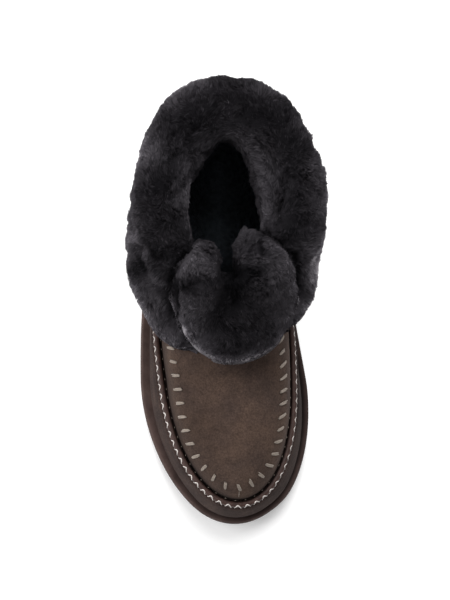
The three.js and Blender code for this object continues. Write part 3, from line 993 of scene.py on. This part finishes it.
# How the stitches lie, by the distance from the toe tip: distance in from the feather line, greatest height
# above the footbed, and the thread's bearing seen from above, in degrees from the inner side to the heel
STITCH_LAY = table(
    "from_toe inset highest bearing",
    ("heel, outer", -300, 5, 14, -90),
    ("far outer side", -230, 4, 14, -10),
    ("outer side", -105, 3.8, 45, -8),
    ("outer ball", -75, 5.3, 45, 0),
    ("outer ball, front", -58, 4.4, 45, 6),
    ("outer toe corner", -40, 3.6, 45, 22),
    ("outer toe turn", -22, 4.1, 45, 57),
    ("outer toe", -13, 4.9, 45, 78),
    ("toe", -2, 6.2, 45, 104),
    ("inner toe", 8, 7.1, 45, 120),
    ("inner toe turn", 19, 6.5, 45, 149),
    ("inner toe corner", 29, 6, 45, 173),
    ("inner ball, front", 38, 6.2, 45, 195),
    ("inner ball", 48, 6.9, 45, 208),
    ("inner side", 66, 7.5, 45, 214),
    ("inner waist", 95, 7.6, 45, 230),
    ("far inner side", 230, 6, 14, 190),
    ("heel, inner", 300, 5, 14, 270),
)
STITCH_SEEN = unit(np.array([-0.07, -0.15, 1.0]))  # the way from which those bearings are seen
STITCH_TAIL = {"thick": 0.4, "taper": 0.9, "from": 4.6, "to": 1.2, "above": 0.1, "points": 7}


def on_upper(inset):
    """The upper's outer face at an inset from the feather line, kept below the stitches' top, and normals."""
    height = UPPER_GRID[..., 2] - footbed_at(UPPER_GRID[..., 1])
    widest = np.argmin(UPPER_INSET, axis=0)
    rows = np.arange(RIB_POINTS)[:, None]
    highest = read(STITCH_LAY, "from_toe", FROM_TOE, "highest")
    reached = (height > highest) | ((rows > widest) & (UPPER_INSET > inset))
    row, column = np.argmax(reached, axis=0), np.arange(RING_POINTS)
    past = UPPER_INSET[row, column] - inset
    step = UPPER_INSET[row, column] - UPPER_INSET[row - 1, column]
    t = np.clip(past / np.maximum(step, TINY), 0, 1)[:, None]
    points = mix(UPPER_GRID[row, column], UPPER_GRID[row - 1, column], t)
    return points, UPPER_NORMALS[row, column]


def stitch_places(run):
    """Distances along the sewn line, from the heel to the toe and on to the heel."""
    outer_count = round(run[TOE_POINT] / STITCH["outer_pitch"])
    inner_count = round((run[-1] - run[TOE_POINT]) / STITCH["inner_pitch"])
    outer = np.linspace(0, run[TOE_POINT], outer_count, endpoint=False)
    return np.concatenate([outer, np.linspace(run[TOE_POINT], run[-1], inner_count, endpoint=False)])


def build_stitches():
    """Blanket stitches round the shoulder of the upper, each of a few strands."""
    sewn, facing = on_upper(read(STITCH_LAY, "from_toe", FROM_TOE, "inset"))
    run = run_of(sewn)
    along = np.linspace(-0.5, 0.5, STITCH["points"])
    lift = STITCH["arch"] * (1 - (2 * along) ** 2) + STITCH["above"]
    lines, normals = [], []
    for place in stitch_places(run):
        from_toe = np.interp(place, run, FROM_TOE)
        centre = read_at(place, run, sewn)
        normal = unit(read_at(place, run, facing))
        sway = random.uniform(-STITCH["sway"], STITCH["sway"])
        bearing = math.radians(read(STITCH_LAY, "from_toe", from_toe, "bearing") + sway)
        level = np.array([math.cos(bearing), math.sin(bearing), 0.0])
        way = unit(level - STITCH_SEEN * (level @ normal) / max(STITCH_SEEN @ normal, STITCH["least_facing"]))
        beside = np.cross(normal, way)
        seen_long = STITCH["long"] / max(math.sqrt(1 - (way @ STITCH_SEEN) ** 2), STITCH["least_seen"])
        for strand in np.arange(STITCH["strands"]) - (STITCH["strands"] - 1) / 2:
            length = seen_long * random.uniform(*STITCH["uneven"])
            slip = random.uniform(-STITCH["slip"], STITCH["slip"])
            gathered = strand * STITCH["apart"] * (1 - STITCH["gather"] * along**2)
            fan = gathered + STITCH["fan"] * along * random.uniform(-1, 1)
            across = fan[:, None] * beside + lift[:, None] * normal
            lines.append(centre + (along * length + slip)[:, None] * way + across)
            normals.append(np.broadcast_to(normal, (STITCH["points"], 3)))
    thick, taper, corners = STITCH["strand"], STITCH["taper"], STITCH["corners"]
    piece = tubes("blanket_stitches", lines, thick, thick, np.array(normals), TAUPE_THREAD, taper, corners)
    stand_for(piece, "suede")


def build_stitch_tail():
    """A loose end of thread at the toe, from a stitch down to the crevice."""
    insets = np.linspace(STITCH_TAIL["from"], STITCH_TAIL["to"], STITCH_TAIL["points"])
    spots = [[part[TOE_POINT] for part in on_upper(inset)] for inset in insets]
    normals = np.array([[normal for _, normal in spots]])
    line = np.array([[point for point, _ in spots]]) + normals * STITCH_TAIL["above"]
    thick = STITCH_TAIL["thick"]
    piece = tubes("stitch_tail", line, thick, thick, normals, TAUPE_THREAD, STITCH_TAIL["taper"])
    stand_for(piece, "suede")


# Fur

FUR_ROWS = {"outside": 46, "over": 40, "inside": 27}
PILE_SPREAD = 0.35  # share of the hide's normals in the ways that the pile faces
OVER_BLEND = np.pi / 3  # angle over the collar's edge within which the pile's depth changes to that on top


class Pile:
    """The hide and the pile's outer face of one piece of fur, as grids over its turn and its section."""

    def __init__(self, rows, turns, hem_light):
        self.hem_light = hem_light
        self.turn = np.linspace(rows["turn"][0], rows["turn"][-1], turns)
        heading = np.radians(-self.turn)
        ribs = ribs_at(heading, feather_reach(heading), np.linspace(0, 1, RIB_FINE))
        hide, normal, depth = [], [], []
        for k, turn in enumerate(self.turn):
            row = {name: float(read(rows, "turn", turn, name)) for name in rows}
            at, way, deep = self.section(ribs[k], row)
            hide.append(from_rib(heading[k], at))
            normal.append(turned(heading[k], way))
            depth.append(deep)
        self.hide, self.normal, self.depth = np.array(hide), np.array(normal), np.array(depth)
        self.face = self.hide + self.normal * self.depth[..., None]
        self.out = grid_normals(self.face, False)
        facing = np.sum(self.out * self.normal, -1, keepdims=True)
        self.out = unit(np.where(facing < 0, -self.out, self.out) + PILE_SPREAD * self.normal)

    @staticmethod
    def section(rib, row):
        """Points, normals and pile depths from the lower edge outside, over the collar, to the one inside."""
        run = run_of(rib)
        tangent = unit(np.gradient(rib, axis=0))

        def lay(behind, side, lift):
            where = run[-1] - behind
            along = unit(read_at(where, run, tangent))
            way = side * np.stack([along[:, 1], -along[:, 0]], -1)
            return read_at(where, run, rib) + way * lift, way

        down = np.linspace(0, row["down"], FUR_ROWS["outside"])
        outside, outside_way = lay(row["down"] - down, 1, FUR_GAP)
        depth = np.linspace(0, row["depth"], FUR_ROWS["inside"])
        inside, inside_way = lay(depth, -1, FUR_GAP + OBLIQUE_WALL * WALL)
        face = outside_way[-1]
        rim = rib[-1] - face * WALL / 2
        angle = np.linspace(0, np.pi, FUR_ROWS["over"] + 2)[1:-1]
        cos, sin = np.cos(angle), np.sin(angle)
        over_way = np.stack([face[0] * cos - face[1] * sin, face[0] * sin + face[1] * cos], -1)
        over = rim + over_way * (WALL / 2 + FUR_GAP)
        deep_outside = mix(row["low"], row["high"], down / row["down"])
        near = mix(row["high"], row["top"], ease(angle / OVER_BLEND))
        far = mix(row["inside"], row["top"], ease((np.pi - angle) / OVER_BLEND))
        deep_over = np.where(angle < np.pi / 2, near, far)
        edge = np.concatenate([down, np.full(len(angle), EDGE_ROUND), row["depth"] - depth])
        rounding = np.sqrt(1 - (1 - np.clip(edge / EDGE_ROUND, 0, 1)) ** 2)
        deep = np.concatenate([deep_outside, deep_over, np.full(len(depth), row["inside"])]) * rounding
        way = np.concatenate([outside_way, over_way, inside_way])
        return np.concatenate([outside, over, inside]), way, deep

    def areas(self):
        """Area of each cell of the outer face."""
        a = self.face[1:, :-1] - self.face[:-1, :-1]
        b = self.face[:-1, 1:] - self.face[:-1, :-1]
        return np.linalg.norm(np.cross(a, b), axis=-1)

    def at(self, grid, i, j):
        """A grid's values at fractional rows and columns."""
        i0 = np.clip(i.astype(int), 0, grid.shape[0] - 2)
        j0 = np.clip(j.astype(int), 0, grid.shape[1] - 2)
        u, v = i - i0, j - j0
        if grid.ndim == 3:
            u, v = u[:, None], v[:, None]
        low = mix(grid[i0, j0], grid[i0, j0 + 1], v)
        return mix(low, mix(grid[i0 + 1, j0], grid[i0 + 1, j0 + 1], v), u)

    def surface(self, i, j):
        """The outer face, and the ways it faces, at fractional rows and columns."""
        return self.at(self.face, i, j), unit(self.at(self.out, i, j))

    def turn_at(self, i):
        return np.interp(i, np.arange(len(self.turn)), self.turn)

    def scatter(self, count, keep=None):
        """Random fractional places, evenly over the outer face."""
        area = self.areas()
        if keep is not None:
            area = area * keep[:-1, :-1]
        cell = random.choice(area.size, size=count, p=(area / area.sum()).ravel())
        i, j = np.unravel_index(cell, area.shape)
        return i + random.random(count), j + random.random(count)


def smooth_waves(count, shortest, longest):
    """Random waves, with lengths in millimetres, that add up to a smooth wandering field."""
    lengths = np.geomspace(shortest, longest, count)
    vectors = unit(random.normal(size=(count, 3))) * (2 * np.pi / lengths)[:, None]
    heights = lengths * np.sqrt(2 / np.sum(lengths**2))
    return vectors, random.uniform(0, 2 * np.pi, count), heights


def field(points, waves):
    """A wandering field's values, about -1 to 1, and its slopes."""
    vectors, phases, heights = waves
    angle = points @ vectors.T + phases
    return np.sin(angle) @ heights, (np.cos(angle) * heights) @ vectors


LUMPS = smooth_waves(count=12, shortest=8, longest=24)
CLOUDS = smooth_waves(count=8, shortest=22, longest=50)
SWIRLS = smooth_waves(count=8, shortest=16, longest=40)
SIDES = smooth_waves(count=6, shortest=10, longest=18)
WANDERS = [smooth_waves(count=10, shortest=3.5, longest=9) for _ in range(3)]


def nearest(points, centres):
    """For each point, the index of the nearest centre."""
    tree = KDTree(len(centres))
    for k, centre in enumerate(centres.tolist()):
        tree.insert(centre, k)
    tree.balance()
    return np.array([tree.find(point)[1] for point in points.tolist()])


HAIR = {
    "root": 0.78,  # share of the pile's depth where a hair starts to show
    "root_uneven": (0.9, 1.1),
    "least_root": 0.3,
    "wide": 0.58,
    "wide_uneven": (0.7, 1.25),
    "bow": 0.1,  # how far a hair bows out, by its length
    "twist": 0.4,
    "lean": 2.8,
    "lean_depth": 14,  # depth of the pile from which its hairs lean fully
    "least_lean": 0.25,
    "parting_lean": 0.6,  # how much more they lean at the parting
    "rim_lean": 0.8,  # how much less they lean on thin outer edges
    "stray": 0.38,
    "wander": 0.42,
    "parting": 0.75,  # share of the way over the collar where the combing turns from outwards to inwards
    "parting_turn": 9,  # how sharply it turns there
    "aside": 2,  # how firmly the parting lies to one side
    "swell": 0.6,
    "uneven_tone": 0.06,
    "cloud_tone": 0.03,
    "lowest": -0.6,  # no hairs on faces that look further down than this
}
TUFT = {"share": 0.05, "hold": 0.2, "hold_uneven": (0.3, 1.0), "turn": 0.35, "lift": 0.2, "tone": 0.05}
# How hairs take the light: by the lumps, their own faces and their lean, and upwards on thin edges and inside
# the collar, from one share of the way over it to another
LIT = {"relief": 0.8, "face": 0.25, "lean": 0.2, "rim_up": 1.2, "from": 0.55, "to": 0.9}
# Thin outer edges, where the pile faces sideways: how far it may face down, up, and up at the hem, the shares
# of the way over the collar between which they end, and how much paler they are, in painted light
RIM = {"down": 0.6, "up": 0.35, "hem": 1.1, "from": 0.2, "to": 0.6, "pale": 0.3}
# The thin lower edges, by the share of the way up, and how much of the lumps and wandering they are spared
HEM = {"from": 0.08, "to": 0.3, "calm": 0.75}
# Painted light: the tone that the thin lower edges of the cuff and the flap turn to
HEM_PAINTED_LIGHT = {"cuff": 0.78, "flap": 0.98}
KITE = np.array([[0, 2, 1], [1, 2, 3]])  # the faces of a hair: root, two sides, tip
KITE_ALONG = np.array([0.02, 0.5, 0.5, 0.98])
TONE_LIMITS = (0.02, 0.98)
# Where one pile meets the other: how deep and wide it is pressed in, how far under it hairs stop, how dark
# its painted shade is
SEAM = {"deep": 5.0, "wide": 2.8, "hidden": 5.0, "dark": 0.4}
# The other pile is looked for at every third point of it, within a reach; beyond that a place counts as clear
NEIGHBOUR = {"step": 3, "reach": 12, "clear": -99.0}
# Painted shade in the folds: how deep a fold is darkest, and how much it darkens the pile
FOLD_FULL = 4.0  # a fold this deep is as dark as any
FOLD_DARK = 0.75
FOLD_FACING = (-0.2, 0.4)  # folds and rims fade out where the pile faces down
RIDGE_FACING = (-0.2, 0.2)

# Tone of the cuff from its lower edge (0) over the top of the wall (1) to the inner side of the collar (2);
# partly the fur's own tone, partly painted light, paler on the lower edge and the inner side of the collar
CUFF_TONE = table(
    "place tone",
    ("lower edge", 0, 0.55),
    ("lower side", 0.4, 0.44),
    ("side", 0.85, 0.32),
    ("outer turn", 1.1, 0.36),
    ("outer slope", 1.25, 0.27),
    ("crest", 1.45, 0.19),
    ("inner slope", 1.6, 0.28),
    ("inner turn", 1.75, 0.46),
    ("inner side", 1.9, 0.52),
    ("inside", 2, 0.4),
)
# How strong that tone is, by the cuff's turn
CUFF_STRENGTH = table(
    "turn strength",
    ("outer end", 0, 1),
    ("outer ankle", 95, 0.95),
    ("outer heel", 150, 0.88),
    ("heel", 180, 0.85),
    ("inner heel", 215, 0.95),
    ("inner ankle", 265, 1.08),
    ("inner end", 350, 1.15),
)
# Tone of the flap by its turn, below the lobes and on them; partly painted light and shade, paler on the
# lobes and flanks, darker at the notch between them
FLAP_TONE = table(
    "turn low lobe",
    ("inner edge", -50, 0.7, 0.6),
    ("inner flank", -32, 0.6, 0.57),
    ("inner lobe", -20, 0.46, 0.52),
    ("inner lip", -11, 0.34, 0.48),
    ("inner notch", -4, 0.28, 0.3),
    ("outer notch", 3, 0.36, 0.3),
    ("outer lip", 10, 0.54, 0.58),
    ("outer lobe", 20, 0.62, 0.63),
    ("outer edge", 37, 0.66, 0.66),
)
# Soft paler and darker patches of both, in the plan of the boot: partly the fur's own uneven tone, partly
# painted light on rims and edges and painted shade under the lobes and in the valleys
FUR_PATCHES = table(
    "x y wide tone",
    ("rear of the outer rim", -49, 78, 11, 0.34),
    ("outer rim", -51, 60, 6, 0.1),
    ("outer crest", -42, 58, 9, -0.06),
    ("outer heel", -36, 110, 8, 0.22),
    ("heel's edge, outer", -22, 124, 9, 0.3),
    ("heel's edge, inner", 24, 123, 10, 0.22),
    ("inner heel", 45, 97, 8, 0.22),
    ("behind the opening", -1, 101, 6, 0.1),
    ("outer edge of the ring, rear", -28, 79, 8, 0.1),
    ("inner edge of the ring, rear", 8, 86, 7, 0.15),
    ("outer edge of the ring", -23, 56, 11, 0.18),
    ("outer valley", -35, 29, 8, 0.2),
    ("outer notch", -57, 15, 5, -0.2),
    ("outer wing, rear", -57, 4, 5, 0.1),
    ("outer wing, upper", -50, 15, 7, -0.4),
    ("outer wing, middle", -39, -4, 5, 0.12),
    ("outer wing, lower", -36, -14, 8, 0.02),
    ("inner crest", 43, 58, 10, 0.06),
    ("inner rim, rear", 52, 72, 10, 0.26),
    ("inner rim", 53, 52, 14, 0.14),
    ("inner rim, front", 51, 20, 12, 0.3),
    ("outer lobe, rear", -16, 28, 5, -0.3),
    ("outer lobe, inner end", -8, 20, 5, -0.28),
    ("under the outer lobe", -24, -2, 9, -0.2),
    ("flap, outer edge", -33, 0, 6, -0.25),
    ("flap, outer hem", -25, -24, 5, 0.16),
    ("inner lobe, rear", 13, 28, 7, -0.2),
    ("inner lobe, crest", 25, 18, 4, -0.1),
    ("inner lobe, inner side", 34, 15, 8, 0.1),
    ("under the inner lobe", 36, -1, 7, -0.16),
    ("inner flank", 46, -2, 5, 0.15),
    ("inner flank, low", 39, -15, 9, 0.14),
)

# Folds pressed into the pile, in the plan of the boot: from one point to another, with a width and a depth;
# the pile is darkened in them with painted shade
FUR_FOLDS = table(
    "x0 y0 x1 y1 wide deep",
    ("outer valley, rear", -44, 20, -41.5, 14, 4, 0.6),
    ("outer valley, front", -41.5, 14, -35.5, 5, 4.5, 3.4),
    ("outer groove", -34.5, 8, -31, -12, 2.8, 8),
    ("outer notch", -61, 27, -53, 24, 2.6, 7),
    ("inner groove, upper", 41.5, 16, 44, 9, 2.8, 8),
    ("inner groove, lower", 44, 9, 45.3, 4, 2.6, 8),
    ("under the outer lobe", -26, 0.5, -3, 1.5, 5, 1.4),
    ("slit, lower end", 0.5, 12, 1, -2, 3, 1.2),
    ("hollow under the inner lobe", 5, 8, 14, 5.5, 5.5, 6),
    ("hollow, middle", 9, 2, 5, -8, 6, 3.8),
    ("hollow, lower end", 1, -8, -5, -18, 7, 2.5),
    ("between the inner lobe's humps", 20, 33, 19.2, 20, 3.2, 3.5),
)

# Thin raised rims where the pile turns over, with a height and how much paler they are, the paleness being
# painted light
FUR_RIDGES = table(
    "x0 y0 x1 y1 wide high pale",
    ("outer rim, rear", -56.8, 32.6, -49.8, 21, 1.6, 1.2, 0.14),
    ("outer rim, middle", -49.8, 21, -45.7, 11, 1.4, 1.4, 0.26),
    ("outer rim, front", -45.7, 11, -36, 1.5, 1.6, 1.4, 0.3),
    ("flap's outer edge", -31, -8, -25.5, -22, 1.8, 0.8, 0.24),
)


def folded(points, out):
    """Depth of the folds at points of an outer face, in millimetres."""
    depth = np.zeros(len(points))
    for *line, wide, deep in zip(*FUR_FOLDS.values()):
        gap, _ = beside_line(points[:, :2], *line)
        depth = np.maximum(depth, deep * bell(gap / wide))
    return depth * ease(share(out[:, 2], *FOLD_FACING))


def ridged(points, out):
    """Height of the rims at points of an outer face, and how much paler they are: painted light."""
    height, paler = np.zeros(len(points)), np.zeros(len(points))
    for *line, wide, high, pale in zip(*FUR_RIDGES.values()):
        gap, _ = beside_line(points[:, :2], *line)
        near = bell(gap / wide) * ease(share(out[:, 2], *RIDGE_FACING))
        height = np.maximum(height, high * near)
        paler = np.maximum(paler, pale * near)
    return height, paler


def under(points, other):
    """How far points lie under the outer face of another pile, in millimetres; far from it, well above."""
    step = NEIGHBOUR["step"]
    grid, out = (values[::step, ::step].reshape(-1, 3) for values in (other.face, other.out))
    near = nearest(points, grid)
    gap = points - grid[near]
    height = np.sum(gap * out[near], 1)
    return np.where(np.linalg.norm(gap, axis=1) > NEIGHBOUR["reach"], NEIGHBOUR["clear"], -height)


def section_place(j):
    """Shares of the way up the outside and over the collar."""
    outside = np.clip(j / FUR_ROWS["outside"], 0, 1)
    over = np.clip((j - FUR_ROWS["outside"]) / FUR_ROWS["over"], 0, 1)
    return outside, over


def hem_share(j):
    """How near the lower edge a place is, 1 at the edge."""
    return 1 - ease(within(section_place(j)[0], HEM))


def pile_tone(pile, i, j, tone_at):
    """Tone of the pile at places of its grid, with painted shade in the folds and painted light on the rims
    and the hem; its folds and raised rims, and how thin an outer edge it is.
    """
    face, out = pile.surface(i, j)
    _, over = section_place(j)
    fold = folded(face, out)
    raised, paler = ridged(face, out)
    hem = hem_share(j)
    steep = out[:, 2] / np.where(out[:, 2] < 0, RIM["down"], mix(RIM["up"], RIM["hem"], hem))
    rim = bell(steep) * (1 - ease(within(over, RIM)))
    shown = 1 - FOLD_DARK * np.clip(fold / FOLD_FULL, 0, 1)
    tone = (tone_at(pile, i, j) + patched(face, FUR_PATCHES)) * shown
    return mix(tone + RIM["pale"] * rim + paler, pile.hem_light, hem * rim), fold, raised, rim


def combed(pile, i, j, face, out, tuft_turn):
    """Ways in which hairs lean, away from the parting, and how far to either side of it they stand."""
    section = pile.face.shape[1] - 1
    parting = (FUR_ROWS["outside"] + HAIR["parting"] * FUR_ROWS["over"]) / section
    away = np.tanh((j / section - parting) * HAIR["parting_turn"])
    downhill = unit(pile.at(np.gradient(pile.face, axis=1), i, j))
    sideways = unit(np.cross(out, downhill))
    swirl = field(face, SWIRLS)[0] + tuft_turn
    aside = np.sqrt(1 - away**2) * np.tanh(HAIR["aside"] * field(face, SIDES)[0]) + np.sin(swirl)
    comb = downhill * (away * np.cos(swirl))[:, None] + sideways * aside[:, None]
    return comb / np.maximum(np.linalg.norm(comb, axis=1, keepdims=True), 1), away


def kites(root, tip, out):
    """The four corners of each hair, its way and the way across it."""
    way = unit(tip - root)
    facing = unit(out + UP)
    across = unit(np.cross(way, facing + random.normal(0, HAIR["twist"], root.shape)))
    across = across * np.where(np.sum(np.cross(across, way) * facing, 1) < 0, -1, 1)[:, None]
    half = HAIR["wide"] / 2 * random.uniform(*HAIR["wide_uneven"], len(root))[:, None]
    middle = mix(root, tip, 0.5) + out * (HAIR["bow"] * np.linalg.norm(tip - root, axis=1))[:, None]
    return np.stack([root, middle - across * half, middle + across * half, tip], 1), way, across


def build_hair(name, pile, count, other, tone_at, keep=None):
    """Short tapered hairs, from within the pile to its outer face."""
    i, j = pile.scatter(count, keep)
    face, out = pile.surface(i, j)
    below = under(face, other)
    shown = (below < SEAM["hidden"]) & (out[:, 2] > HAIR["lowest"])
    i, j, below, face, out = (values[shown] for values in (i, j, below, face, out))
    count = len(i)
    hide, normal = pile.at(pile.hide, i, j), unit(pile.at(pile.normal, i, j))
    depth = pile.at(pile.depth, i, j)
    seam = bell(below / SEAM["wide"])
    tone, fold, raised, rim = pile_tone(pile, i, j, tone_at)
    pressed = np.maximum(SEAM["deep"] * seam, fold)
    calm = 1 - HEM["calm"] * hem_share(j)
    lump, slope = field(face, LUMPS)
    centres = random.choice(count, size=int(count * TUFT["share"]), replace=False)
    own = centres[nearest(face, face[centres])]
    tuft = random.normal(0, 1, (count, 3))[own]

    comb, away = combed(pile, i, j, face, out, TUFT["turn"] * tuft[:, 0])
    full = np.clip(depth / HAIR["lean_depth"], HAIR["least_lean"], 1)
    lean = HAIR["lean"] * full * (1 + HAIR["parting_lean"] * (1 - away**2)) * (1 - HAIR["rim_lean"] * rim)
    start = depth * HAIR["root"] * random.uniform(*HAIR["root_uneven"], count) - pressed
    root = hide + normal * np.maximum(start, HAIR["least_root"] * depth)[:, None]
    loose = HAIR["stray"] * random.normal(0, 1, count) + TUFT["lift"] * tuft[:, 1]
    lift = (HAIR["swell"] * (lump - 1 + rim) + loose) * calm + raised - pressed
    tip = face + comb * lean[:, None] + out * lift[:, None]
    tip += HAIR["wander"] * calm[:, None] * np.stack([field(face, waves)[0] for waves in WANDERS], -1)
    tip = mix(tip, tip[own], TUFT["hold"] * random.uniform(*TUFT["hold_uneven"], count)[:, None])

    uneven = HAIR["cloud_tone"] * field(face, CLOUDS)[0] + TUFT["tone"] * tuft[:, 2]
    # painted shade where the two piles meet
    tone = (tone + uneven + random.normal(0, HAIR["uneven_tone"], count)) * (1 - SEAM["dark"] * seam)
    points, way, across = kites(root, tip, out)
    faces = (KITE[None] + (np.arange(count) * points.shape[1])[:, None, None]).reshape(-1, 3)
    uv = np.empty((*points.shape[:2], 2))
    uv[..., 0] = np.clip(tone, *TONE_LIMITS)[:, None]
    uv[..., 1] = KITE_ALONG

    slope = (slope - out * np.sum(slope * out, 1, keepdims=True)) * calm[:, None]
    soft = out - LIT["relief"] * HAIR["swell"] * slope
    soft = soft + LIT["face"] * unit(np.cross(across, way)) + LIT["lean"] * (way - out)
    inner = ease(within(section_place(j)[1], LIT))
    soft = np.repeat(unit(soft + (LIT["rim_up"] * rim + inner)[:, None] * UP), points.shape[1], axis=0)
    piece = add_mesh(name, points.reshape(-1, 3), [faces], FUR_LOOK, uv=uv.reshape(-1, 2), normals=soft)
    stand_for(piece, "fur")


def cuff_tone(pile, i, j):
    """Darkest along the crest and at the heel."""
    outside, over = section_place(j)
    strength = read(CUFF_STRENGTH, "turn", pile.turn_at(i), "strength")
    return read(CUFF_TONE, "place", outside + over, "tone") * strength


LOBE = {"from": 0.95, "to": 1.2}  # where the flap's lobes begin, up the outside and over the collar


def flap_tone(pile, i, j):
    """Pale on top of the two lobes and on both flanks, dark in the valley between: partly painted light and
    shade.
    """
    outside, over = section_place(j)
    turn = pile.turn_at(i)
    lobe = ease(within(outside + over, LOBE))
    return mix(read(FLAP_TONE, "turn", turn, "low"), read(FLAP_TONE, "turn", turn, "lobe"), lobe)


# The felt's depth and tone by those of the pile, its clearance and its least depth
GROUND = {"depth": 0.9, "tone": 0.8, "clear": 0.1, "least": 0.2, "step": 2}


def build_ground(name, pile, other, node, tone_at):
    """The felted body of the pile under the hair tips."""
    i, j = np.indices(pile.depth.shape).reshape(2, -1)
    tone, fold, _, _ = pile_tone(pile, i, j, tone_at)
    seam = SEAM["deep"] * bell(under(pile.face.reshape(-1, 3), other) / SEAM["wide"])
    pressed = np.maximum(seam, fold).reshape(pile.depth.shape)
    back = pile.hide + pile.normal * GROUND["clear"]
    high = np.maximum(pile.depth * GROUND["depth"] - pressed, GROUND["least"] * pile.depth + GROUND["clear"])
    face = pile.hide + pile.normal * high[..., None]
    tone = GROUND["tone"] * tone.reshape(pile.depth.shape)
    step = GROUND["step"]
    loop = np.concatenate([back[::step, ::step], face[::step, ::-step]], 1)
    tones = np.concatenate([tone[::step, ::step], tone[::step, ::-step]], 1)
    turns, size = loop.shape[:2]
    k = np.arange(size // 2 - 1)
    cap = np.stack([k, k + 1, size - k - 2, size - k - 1], -1)
    faces = [grid_faces(turns, size, wrap_columns=True), cap, (turns - 1) * size + cap[:, ::-1]]
    piece = add_mesh(name, loop.reshape(-1, 3), faces, FUR_GROUND_LOOK, values={"tone": tones})
    stand_for(piece, "fur", node)


HAIRS = {"cuff": 102000, "flap": 100000}
CUFF_PARTS = (("outer", 0.0, 0.34), ("heel", 0.34, 0.67), ("inner", 0.67, 1.0))


def build_fur():
    cuff = Pile(CUFF, FUR_TURNS["cuff"], HEM_PAINTED_LIGHT["cuff"])
    flap = Pile(FLAP, FUR_TURNS["flap"], HEM_PAINTED_LIGHT["flap"])
    build_ground("fur_cuff_ground", cuff, flap, "fur_cuff", cuff_tone)
    build_ground("fur_flap_ground", flap, cuff, "fur_flap", flap_tone)
    way = np.linspace(0, 1, len(cuff.turn))
    for part, low, high in CUFF_PARTS:
        keep = np.repeat(((way >= low) & (way < high))[:, None], cuff.face.shape[1], 1).astype(float)
        build_hair(f"fur_cuff_hair_{part}", cuff, HAIRS["cuff"], flap, cuff_tone, keep)
    build_hair("fur_flap_hair", flap, HAIRS["flap"], cuff, flap_tone)


build_outsole()
build_platform()
build_welt()
build_zigzag()
build_crevice_threads()
build_upper()
build_lining()
build_insole()
build_stitches()
build_stitch_tail()
build_fur()


# Floor, light and camera

FLOOR_SIDE = 6.0
FLOOR_GREY = 0.86
# The floor glows, painted light that whitens the shade beside the boot; it glows less round its toe, where
# the shadow stays
FLOOR_GLOW = {"From Min": -0.1, "From Max": -0.055, "To Min": 0.2, "To Max": 0.42}
WORLD_LIGHT = 0.5
SOFTBOX_SIDE = 1.2
SOFTBOXES = (
    {"name": "left_softbox", "at": (-1.5, 0.1, 1.0), "watts": 22},
    {"name": "back_softbox", "at": (0.15, 1.15, 1.9), "watts": 46},
)
LIT_POINT = (0, 0, 0.05)
CAMERA_AT = Vector((-100.75, -218.69, 1539.99)) * MM
CAMERA_TO = Vector((2.74, 2.49, 60.0)) * MM
CAMERA_CLIP = (0.05, 20.0)
FOCAL_PX = 2408.25
IMAGE_LONG_PX = 600
SENSOR_MM = 36.0


def build_floor():
    half = FLOOR_SIDE / 2
    corners = [(-half, -half, 0), (half, -half, 0), (half, half, 0), (-half, half, 0)]
    mesh = bpy.data.meshes.new("floor")
    mesh.from_pydata(corners, [], [(0, 1, 2, 3)])
    look = Look("pale_floor", roughness=0.9, specular=0.1)
    look.colour(grey(FLOOR_GREY))
    look.shader.inputs["Emission Color"].default_value = grey(1.0)
    place = look.nodes.new("ShaderNodeTexCoord")
    parts = look.nodes.new("ShaderNodeSeparateXYZ")
    glow = look.node("ShaderNodeMapRange", **FLOOR_GLOW)
    look.links.new(place.outputs["Object"], parts.inputs["Vector"])
    look.links.new(parts.outputs["Y"], glow.inputs["Value"])
    look.links.new(glow.outputs["Result"], look.shader.inputs["Emission Strength"])
    mesh.materials.append(look.material)
    floor = bpy.data.objects.new("floor", mesh)
    bpy.context.scene.collection.objects.link(floor)


def add_softbox(name, at, watts):
    light = bpy.data.lights.new(name, "AREA")
    light.shape = "SQUARE"
    light.size = SOFTBOX_SIDE
    light.energy = watts
    box = bpy.data.objects.new(name, light)
    box.location = Vector(at)
    box.rotation_euler = (Vector(LIT_POINT) - Vector(at)).to_track_quat("-Z", "Y").to_euler()
    bpy.context.scene.collection.objects.link(box)


def build_light():
    world = bpy.data.worlds.new("studio")
    world.use_nodes = True
    background = world.node_tree.nodes["Background"]
    background.inputs["Color"].default_value = grey(1.0)
    background.inputs["Strength"].default_value = WORLD_LIGHT
    bpy.context.scene.world = world
    for softbox in SOFTBOXES:
        add_softbox(**softbox)


def build_camera():
    data = bpy.data.cameras.new("camera")
    data.sensor_width = SENSOR_MM
    data.lens = FOCAL_PX / IMAGE_LONG_PX * SENSOR_MM
    data.clip_start, data.clip_end = CAMERA_CLIP
    camera = bpy.data.objects.new("camera", data)
    back = (CAMERA_AT - CAMERA_TO).normalized()
    right = Vector((0, 1, 0)).cross(back).normalized()
    up = back.cross(right)
    turn = Matrix((right, up, back)).transposed()
    camera.matrix_world = Matrix.Translation(CAMERA_AT) @ turn.to_4x4()
    bpy.context.scene.collection.objects.link(camera)
    bpy.context.scene.camera = camera


build_floor()
build_light()
build_camera()
bpy.context.scene.view_settings.view_transform = "Standard"
